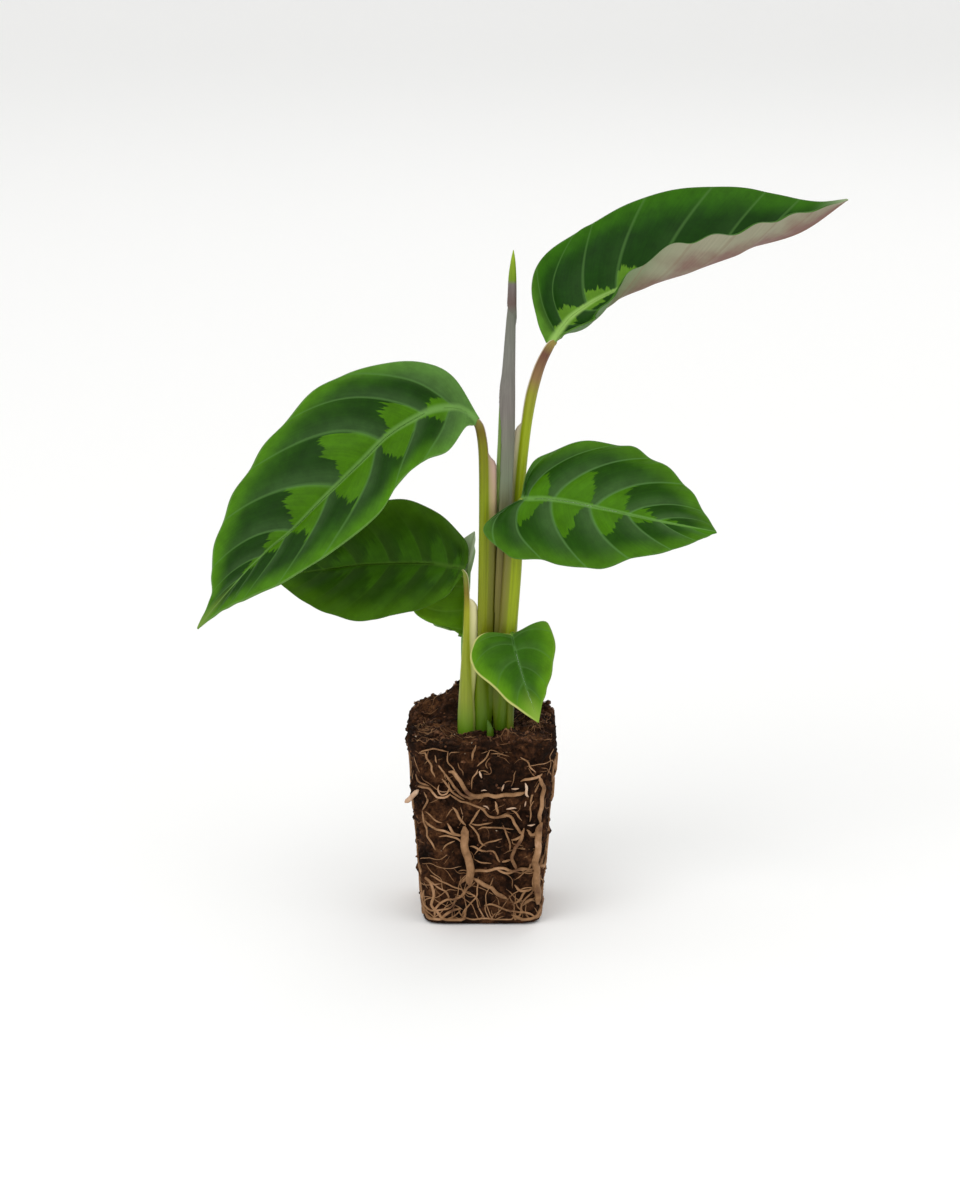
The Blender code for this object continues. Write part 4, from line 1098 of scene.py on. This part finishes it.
def stalk_skin(name, lowest, highest, stops, wing, wing_share):
    """Living stalk: a juicy, satin skin with fine long ribs, whose colour changes from foot to leaf."""
    made, tree, shader = new_material(name)
    skin = add(tree, "ShaderNodeUVMap", uv_map="skin")
    split = add(tree, "ShaderNodeSeparateXYZ", {0: skin}).node.outputs
    height = add(tree, "ShaderNodeMapRange", {0: split[1], 1: lowest, 2: highest})
    colour = ramp(tree, height, [((z - lowest) / (highest - lowest), code) for z, code in stops])
    # Ribs along the stalk, about 0.35 mm apart
    long = add(tree, "ShaderNodeVectorMath", {0: skin, 1: (16.0, 0.045, 0.0)}, operation="MULTIPLY")
    ribs = add(tree, "ShaderNodeTexNoise", {"Vector": long, "Scale": 1.0, "Detail": 3.0, "Roughness": 0.6})
    shade = add(tree, "ShaderNodeMapRange", {0: ribs, 1: 0.3, 2: 0.7, 3: 0.82, 4: 1.16})
    colour = add(tree, "ShaderNodeVectorMath", {0: colour, 3: shade}, operation="SCALE")
    away = add(tree, "ShaderNodeMath", {0: 1.0, 1: split[0]}, operation="SUBTRACT")
    nearest = add(tree, "ShaderNodeMath", {0: away, 1: split[0]}, operation="MINIMUM")
    on_wing = add(
        tree,
        "ShaderNodeMapRange",
        {0: nearest, 1: 0.02, 2: 0.09, 3: wing_share, 4: 0.0},
        interpolation_type="SMOOTHSTEP",
    )
    thin_skin = ramp(tree, height, [((z - lowest) / (highest - lowest), code) for z, code in wing])
    colour = add(tree, "ShaderNodeMix", {0: on_wing, 6: colour, 7: thin_skin}, out=2, data_type="RGBA")
    tree.links.new(colour, shader.inputs["Base Color"])
    shader.inputs["Roughness"].default_value = 0.42
    shader.inputs["Specular IOR Level"].default_value = STALK_GLOSS
    bump = add(tree, "ShaderNodeBump", {"Height": ribs, "Strength": 0.3, "Distance": 0.1 * MM})
    tree.links.new(bump, shader.inputs["Normal"])
    return made


def spear_skin(name, lowest, highest, stops, inner):
    """Underside of a leaf that is still rolled: matt and greyish, with fine ribs that run steeply up the roll.

    The layer under the roll's outer edge is greener, with a painted shadow where it goes in under that edge.
    """
    made, tree, shader = new_material(name)
    skin = add(tree, "ShaderNodeUVMap", uv_map="skin")
    split = add(tree, "ShaderNodeSeparateXYZ", {0: skin}).node.outputs
    height = add(tree, "ShaderNodeMapRange", {0: split[1], 1: lowest, 2: highest})
    colour = ramp(tree, height, [((z - lowest) / (highest - lowest), code) for z, code in stops])
    under = ramp(tree, height, [((z - lowest) / (highest - lowest), code) for z, code in inner])
    beneath = add(tree, "ShaderNodeMapRange", {0: split[0], 1: 0.8, 2: 0.86}, interpolation_type="SMOOTHSTEP")
    colour = add(tree, "ShaderNodeMix", {0: beneath, 6: colour, 7: under}, out=2, data_type="RGBA")
    # Painted shadow: darker where the inner layer goes in under the roll's outer edge
    painted_lap_shadow = add(tree, "ShaderNodeMapRange", {0: split[0], 1: 0.955, 2: 0.985, 3: 1.0, 4: 0.45})
    # Ribs about 0.3 mm apart
    object_place = add(tree, "ShaderNodeTexCoord", out="Object")
    long = add(
        tree, "ShaderNodeVectorMath", {0: object_place, 1: (3000.0, 3000.0, 110.0)}, operation="MULTIPLY"
    )
    ribs = add(tree, "ShaderNodeTexNoise", {"Vector": long, "Scale": 1.0, "Detail": 3.0, "Roughness": 0.6})
    shade = add(tree, "ShaderNodeMapRange", {0: ribs, 1: 0.3, 2: 0.7, 3: 0.86, 4: 1.12})
    both = add(tree, "ShaderNodeMath", {0: shade, 1: painted_lap_shadow}, operation="MULTIPLY")
    colour = add(tree, "ShaderNodeVectorMath", {0: colour, 3: both}, operation="SCALE")
    tree.links.new(colour, shader.inputs["Base Color"])
    shader.inputs["Roughness"].default_value = 0.6
    shader.inputs["Specular IOR Level"].default_value = STALK_GLOSS
    bump = add(tree, "ShaderNodeBump", {"Height": ribs, "Strength": 0.3, "Distance": 0.1 * MM})
    tree.links.new(bump, shader.inputs["Normal"])
    return made


def peat_finish():
    """Milled peat: matt, near black where damp, with brown crumbs of plant matter."""
    made, tree, shader = new_material("milled peat")
    place = add(tree, "ShaderNodeTexCoord", out="Object")
    # Crumbs about 1 mm across, and patches of about 6 mm that are damp or dry
    crumbs = add(
        tree, "ShaderNodeTexNoise", {"Vector": place, "Scale": 900.0, "Detail": 5.0, "Roughness": 0.7}
    )
    patches = add(tree, "ShaderNodeTexNoise", {"Vector": place, "Scale": 160.0, "Detail": 3.0})
    both = add(tree, "ShaderNodeMath", {0: crumbs, 1: patches}, operation="ADD")
    half = add(tree, "ShaderNodeMath", {0: both, 1: 0.5}, operation="MULTIPLY")
    colour = ramp(tree, half, [(0.38, "#0f0804"), (0.49, "#25140a"), (0.57, "#452a18"), (0.68, "#6f4c30")])
    tree.links.new(colour, shader.inputs["Base Color"])
    shader.inputs["Roughness"].default_value = 0.95
    shader.inputs["Specular IOR Level"].default_value = 0.1
    bump = add(tree, "ShaderNodeBump", {"Height": crumbs, "Strength": 0.8, "Distance": 0.3 * MM})
    tree.links.new(bump, shader.inputs["Normal"])
    return made


def strand_finish(name, stops, scale, roughness):
    """Dry plant strand, such as a root or a fibre of peat: matt, its colour changing from place to place."""
    made, tree, shader = new_material(name)
    place = add(tree, "ShaderNodeTexCoord", out="Object")
    mottle = add(
        tree, "ShaderNodeTexNoise", {"Vector": place, "Scale": scale, "Detail": 4.0, "Roughness": 0.65}
    )
    colour = ramp(tree, mottle, stops)
    tree.links.new(colour, shader.inputs["Base Color"])
    shader.inputs["Roughness"].default_value = roughness
    shader.inputs["Specular IOR Level"].default_value = 0.25
    # Wrinkles about 0.3 mm apart
    wrinkles = add(tree, "ShaderNodeTexNoise", {"Vector": place, "Scale": 3000.0, "Detail": 2.0})
    bump = add(tree, "ShaderNodeBump", {"Height": wrinkles, "Strength": 0.5, "Distance": 0.08 * MM})
    tree.links.new(bump, shader.inputs["Normal"])
    return made


LEAF_LOOKS = {
    "leaf_1": {
        "feather": "#3e6c02", "dark": "#163802", "mid": "#2f5a0a", "fringe": "#437408",
        "fringe_width": 4.0, "painted_sheen": "#335026", "vein": "#4f7838", "midrib": "#6f9a4c",
        "rim": "#7a9a5c", "tip": "#6c8c34", "base": "#58803c", "feather_run": 0.92, "teeth": 0.09,
        "softness": 0.014, "dark_zone": (0.5, 1.0), "painted_sheen_share": 0.8, "vein_share": 0.5,
        "rim_width": 0.4, "rim_share": 0.35, "left_rim": 1.0, "tip_starts": 6.9, "base_share": 0.8,
        "rib_width": 1.1, "rib_share": 0.8,
    },
    "leaf_2": {
        "feather": "#56821e", "dark": "#143a02", "mid": "#2c5e08", "fringe": "#306206",
        "fringe_width": 4.0, "painted_sheen": "#28481a", "vein": "#4f7838", "midrib": "#94bc60",
        "rim": "#55703a", "tip": "#b8c4a4", "base": "#568426", "feather_run": 0.95, "teeth": 0.08,
        "softness": 0.014, "dark_zone": (0.6, 1.05), "painted_sheen_share": 0.5, "vein_share": 0.5,
        "rim_width": 0.3, "rim_share": 0.3, "left_rim": 1.0, "tip_starts": 7.3, "base_share": 0.85,
        "rib_width": 1.1, "rib_share": 0.85,
    },
    "leaf_3": {
        "feather": "#3e6e02", "dark": "#1c4202", "mid": "#2e580c", "fringe": "#3f6c0a",
        "fringe_width": 4.0, "painted_sheen": "#385828", "vein": "#547e40", "midrib": "#6c9a4a",
        "rim": "#5c8240", "tip": "#40760a", "base": "#426634", "feather_run": 0.92, "teeth": 0.1,
        "softness": 0.014, "dark_zone": (0.5, 1.0), "painted_sheen_share": 0.85, "vein_share": 0.55,
        "rim_width": 0.35, "rim_share": 0.4, "left_rim": 1.0, "tip_starts": 6.4, "base_share": 0.5,
        "rib_width": 0.8, "rib_share": 0.75,
    },
    "leaf_4": {
        "feather": "#305a02", "dark": "#224402", "mid": "#345a02", "fringe": "#3c6404",
        "fringe_width": 4.0, "painted_sheen": "#2c4c08", "vein": "#3c6018", "midrib": "#4a6e20",
        "rim": "#466420", "tip": "#3f6c08", "base": "#3c6410", "feather_run": 0.8, "teeth": 0.14,
        "softness": 0.1, "dark_zone": (0.4, 0.9), "painted_sheen_share": 0.6, "vein_share": 0.25,
        "rim_width": 0.3, "rim_share": 0.3, "left_rim": 1.0, "tip_starts": 6.0, "base_share": 0.4,
        "rib_width": 0.7, "rib_share": 0.6,
    },
    "leaf_5": {
        "feather": "#568a0a", "dark": "#4f7c04", "mid": "#547e08", "fringe": "#5a8a10",
        "fringe_width": 2.0, "painted_sheen": "#507c1c", "vein": "#6c9436", "midrib": "#6f9a3c",
        "rim": "#8aa870", "tip": "#a4b890", "base": "#5c8a20", "feather_run": 0.75, "teeth": 0.0,
        "softness": 0.1, "dark_zone": (0.4, 0.9), "painted_sheen_share": 0.4, "vein_share": 0.3,
        "rim_width": 0.3, "rim_share": 0.5, "left_rim": 1.0, "tip_starts": 3.3, "base_share": 0.5,
        "rib_width": 0.5, "rib_share": 0.6,
    },
    "leaf_6": {
        "feather": "#40700a", "dark": "#2c5606", "mid": "#3c6a08", "fringe": "#54840e",
        "fringe_width": 3.5, "painted_sheen": "#3c6024", "vein": "#4f7838", "midrib": "#4f7a38",
        "rim": "#d0cc80", "tip": "#86a83c", "base": "#426624", "feather_run": 0.75, "teeth": 0.0,
        "softness": 0.1, "dark_zone": (0.1, 0.9), "painted_sheen_share": 0.5, "vein_share": 0.35,
        "rim_width": 0.5, "rim_share": 0.8, "left_rim": 0.1, "tip_starts": 3.9, "base_share": 0.6,
        "rib_width": 0.45, "rib_share": 0.6,
    },
}

BUD_LOOK = [(36, "#2f4a06"), (39, "#4c6c10"), (42, "#3c5c08")]
SPEAR_LOOK = [
    (38, "#46580a"), (56, "#5a5c12"), (70, "#6c6430"), (82, "#625e34"), (90, "#6f7860"), (104, "#76706a"),
    (116, "#72726a"), (123, "#6c6e62"), (125, "#64524c"), (129, "#6c6460"), (129.6, "#688410"),
    (135, "#88a41c"),
]
SPEAR_INNER = [
    (38, "#46580a"), (70, "#5a5a20"), (84, "#5f6a38"), (88, "#82a052"), (100, "#6f8c40"), (106, "#6c9c1c"),
    (112, "#6f9a2c"), (116, "#70706a"), (123, "#6c6e62"), (129, "#6c6460"), (129.6, "#688410"), (
        135, "#88a41c"
    ),
]

STALK_LOOKS = {
    "stalk_1": (
        [
            (38, "#3c6404"), (46, "#5c7404"), (60, "#78800a"), (86, "#7c8a08"), (97, "#747406"),
            (100, "#6a5c08"), (103, "#7f7a3c"),
        ],
        [
            (38, "#4c6a08"), (60, "#5a5c08"), (80, "#66602a"), (86, "#b09a78"), (93, "#b8988c"),
            (95, "#a88f80"),
        ],
        0.95,
    ),
    "stalk_2": (
        [
            (38, "#3f6a06"), (52, "#74880a"), (74, "#8a9c04"), (100, "#8c9c0c"), (107, "#8a8a24"),
            (110, "#866a40"), (115, "#6a4434"), (117, "#8a7a3a"),
        ],
        [(38, "#8a9c04"), (80, "#a8a460"), (86, "#c8bc94"), (100, "#dccfb4")],
        0.9,
    ),
    "stalk_3": (
        [(38, "#3f6404"), (50, "#6a7c06"), (62, "#88980a"), (76, "#8a9a0a"), (86, "#7f9a30")],
        [(38, "#4f6408"), (56, "#5f6010"), (66, "#706a2c"), (84, "#76703a")],
        0.95,
    ),
    "stalk_4": (
        [
            (38, "#4c7c08"), (46, "#84902a"), (56, "#98a428"), (63, "#989a1c"), (67, "#7c6c1c"),
            (71, "#7a8a34"),
        ],
        [(38, "#7f8a3a"), (52, "#c4c47c"), (66, "#dcd4a8")],
        0.9,
    ),
    "stalk_5": ([(38, "#4a8010"), (50, "#5f8a14"), (57, "#5f9a20")], [(38, "#4a8010"), (57, "#5f9a20")], 0.0),
    "stalk_6": ([(38, "#4f5f04"), (46, "#5a6a08"), (58, "#5f8a20")], [(38, "#4f5f04"), (58, "#5f8a20")], 0.0),
}


def studio():
    """A pale floor that curves up behind, soft light, and the camera."""
    bm = bmesh.new()
    bmesh.ops.create_grid(bm, x_segments=8, y_segments=160, size=FLOOR_HALF)
    for vert in bm.verts:
        beyond = vert.co.y - BACKDROP_START
        if beyond > 0:
            bent = min(beyond / BACKDROP_ROUND, math.pi / 2)
            rise = max(0.0, beyond - BACKDROP_ROUND * math.pi / 2)
            vert.co.y = BACKDROP_START + BACKDROP_ROUND * math.sin(bent)
            vert.co.z = BACKDROP_ROUND * (1 - math.cos(bent)) + rise
    mesh = bpy.data.meshes.new("floor")
    bm.to_mesh(mesh)
    bm.free()
    mesh.shade_smooth()
    paper, tree, shader = new_material("pale paper backdrop")
    shader.inputs["Base Color"].default_value = linear("#fbfbfa")
    shader.inputs["Roughness"].default_value = 0.9
    mesh.materials.append(paper)
    floor = bpy.data.objects.new("floor", mesh)
    bpy.context.scene.collection.objects.link(floor)

    bpy.context.scene.view_settings.view_transform = "Standard"
    world = bpy.data.worlds.new("soft room")
    bpy.context.scene.world = world
    world.use_nodes = True
    room = world.node_tree.nodes["Background"]
    room.inputs["Color"].default_value = linear("#ffffff")
    room.inputs["Strength"].default_value = 0.84
    for name, place, size, power in (
        ("key", (-0.55, -0.75, 0.95), 0.9, 4.6),
        ("fill", (0.8, -0.6, 0.5), 0.9, 1.2),
        ("back", (0.3, 0.9, 0.9), 0.8, 1.4),
    ):
        lamp = bpy.data.lights.new(name, "AREA")
        lamp.shape = "DISK"
        lamp.size = size
        lamp.energy = power
        light = bpy.data.objects.new(name, lamp)
        light.location = place
        light.rotation_euler = (Vector((0, 0, 0.08)) - Vector(place)).to_track_quat("-Z", "Y").to_euler()
        bpy.context.scene.collection.objects.link(light)

    lens = bpy.data.cameras.new("camera")
    lens.lens = CAMERA_LENS
    camera = bpy.data.objects.new("camera", lens)
    camera.location = Vector(CAMERA_PLACE) * MM
    aim = Vector(CAMERA_AIM) - Vector(CAMERA_PLACE)
    camera.rotation_euler = aim.to_track_quat("-Z", "Y").to_euler()
    bpy.context.scene.collection.objects.link(camera)
    bpy.context.scene.camera = camera


def plant():
    """The leaves, their stalks, the spear and the bud."""
    flushed = leaf_back("calathea leaf, flushed underside", "#5f7a50", "#7c5f56", "#929079", "#7a5c4c")
    green = leaf_back("calathea leaf, green underside", "#6f8a50", "#7a7f5c", "#86946a", "#7f8f5a")
    for name, look in LEAF_LOOKS.items():
        number = name.removeprefix("leaf_")
        face = leaf_face(f"calathea leaf {number}, waxy upper face", look, FEATHERS[name])
        back = green if name in ("leaf_5", "leaf_6") else flushed
        blade(name, [face, back])
    for name, (stops, wing, wing_share) in STALK_LOOKS.items():
        number = name.removeprefix("stalk_")
        finish = stalk_skin(
            f"calathea stalk {number}, satin skin", stops[0][0], stops[-1][0], stops, wing, wing_share
        )
        piece(stalk_bmesh(name), f"{name}_stem", [finish], [name])
    spear = spear_skin("rolled calathea leaf, matt underside", 38, 135, SPEAR_LOOK, SPEAR_INNER)
    piece(spear_bmesh(), "rolled_spear", [spear], ["spear_leaf"])
    bud = stalk_skin("young shoot, satin skin", 36, 42, BUD_LOOK, BUD_LOOK, 0.0)
    piece(bud_bmesh(), "young_bud", [bud], ["bud"])


def plug():
    """The peat with its crumbs, grit and fibres, and the roots round it."""
    peat = peat_finish()
    piece(peat_bmesh(), "peat_block", [peat], ["soil_plug"])
    draw = random.Random(ROOT_SEED)
    dry = strand_finish(
        "dry crumb of peat",
        [(0.34, "#160a05"), (0.5, "#38200f"), (0.6, "#5c3a24"), (0.72, "#8a6244")],
        420.0,
        0.95,
    )
    piece(crumbs_bmesh(draw, CRUMBS, CRUMB_SIZES, 0.6), "peat_crumbs", [dry])
    grit = strand_finish("pale grit in the peat", [(0.3, "#8f7f68"), (0.7, "#c9b8a0")], 400.0, 0.9)
    piece(crumbs_bmesh(draw, GRIT, GRIT_SIZES, 0.5), "peat_grit", [grit])
    fibre = strand_finish(
        "dry peat fibre", [(0.3, "#4a2f1c"), (0.5, "#7a5638"), (0.7, "#a07c56")], 500.0, 0.9
    )
    strands("peat_fibres", fibre_lines(draw), fibre)
    root = strand_finish(
        "living root, tan and matt",
        [(0.3, "#5c3c26"), (0.45, "#83603f"), (0.6, "#9f7854"), (0.75, "#c09878")],
        260.0,
        0.7,
    )
    strands("plug_roots", root_lines(draw), root, ["root_net"])
    tip = strand_finish(
        "young root tip, pale and smooth",
        [(0.3, "#a88468"), (0.55, "#c8a88c"), (0.75, "#e0ccb4")],
        500.0,
        0.6,
    )
    strands("pale_root_tips", tip_lines(draw), tip)


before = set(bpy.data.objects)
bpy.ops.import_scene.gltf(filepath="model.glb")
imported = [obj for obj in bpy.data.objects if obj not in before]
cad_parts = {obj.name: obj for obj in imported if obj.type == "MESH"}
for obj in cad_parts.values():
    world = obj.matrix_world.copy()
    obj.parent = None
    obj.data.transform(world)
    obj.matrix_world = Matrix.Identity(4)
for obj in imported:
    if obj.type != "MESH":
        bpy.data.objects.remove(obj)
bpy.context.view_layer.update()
studio()
plant()
plug()
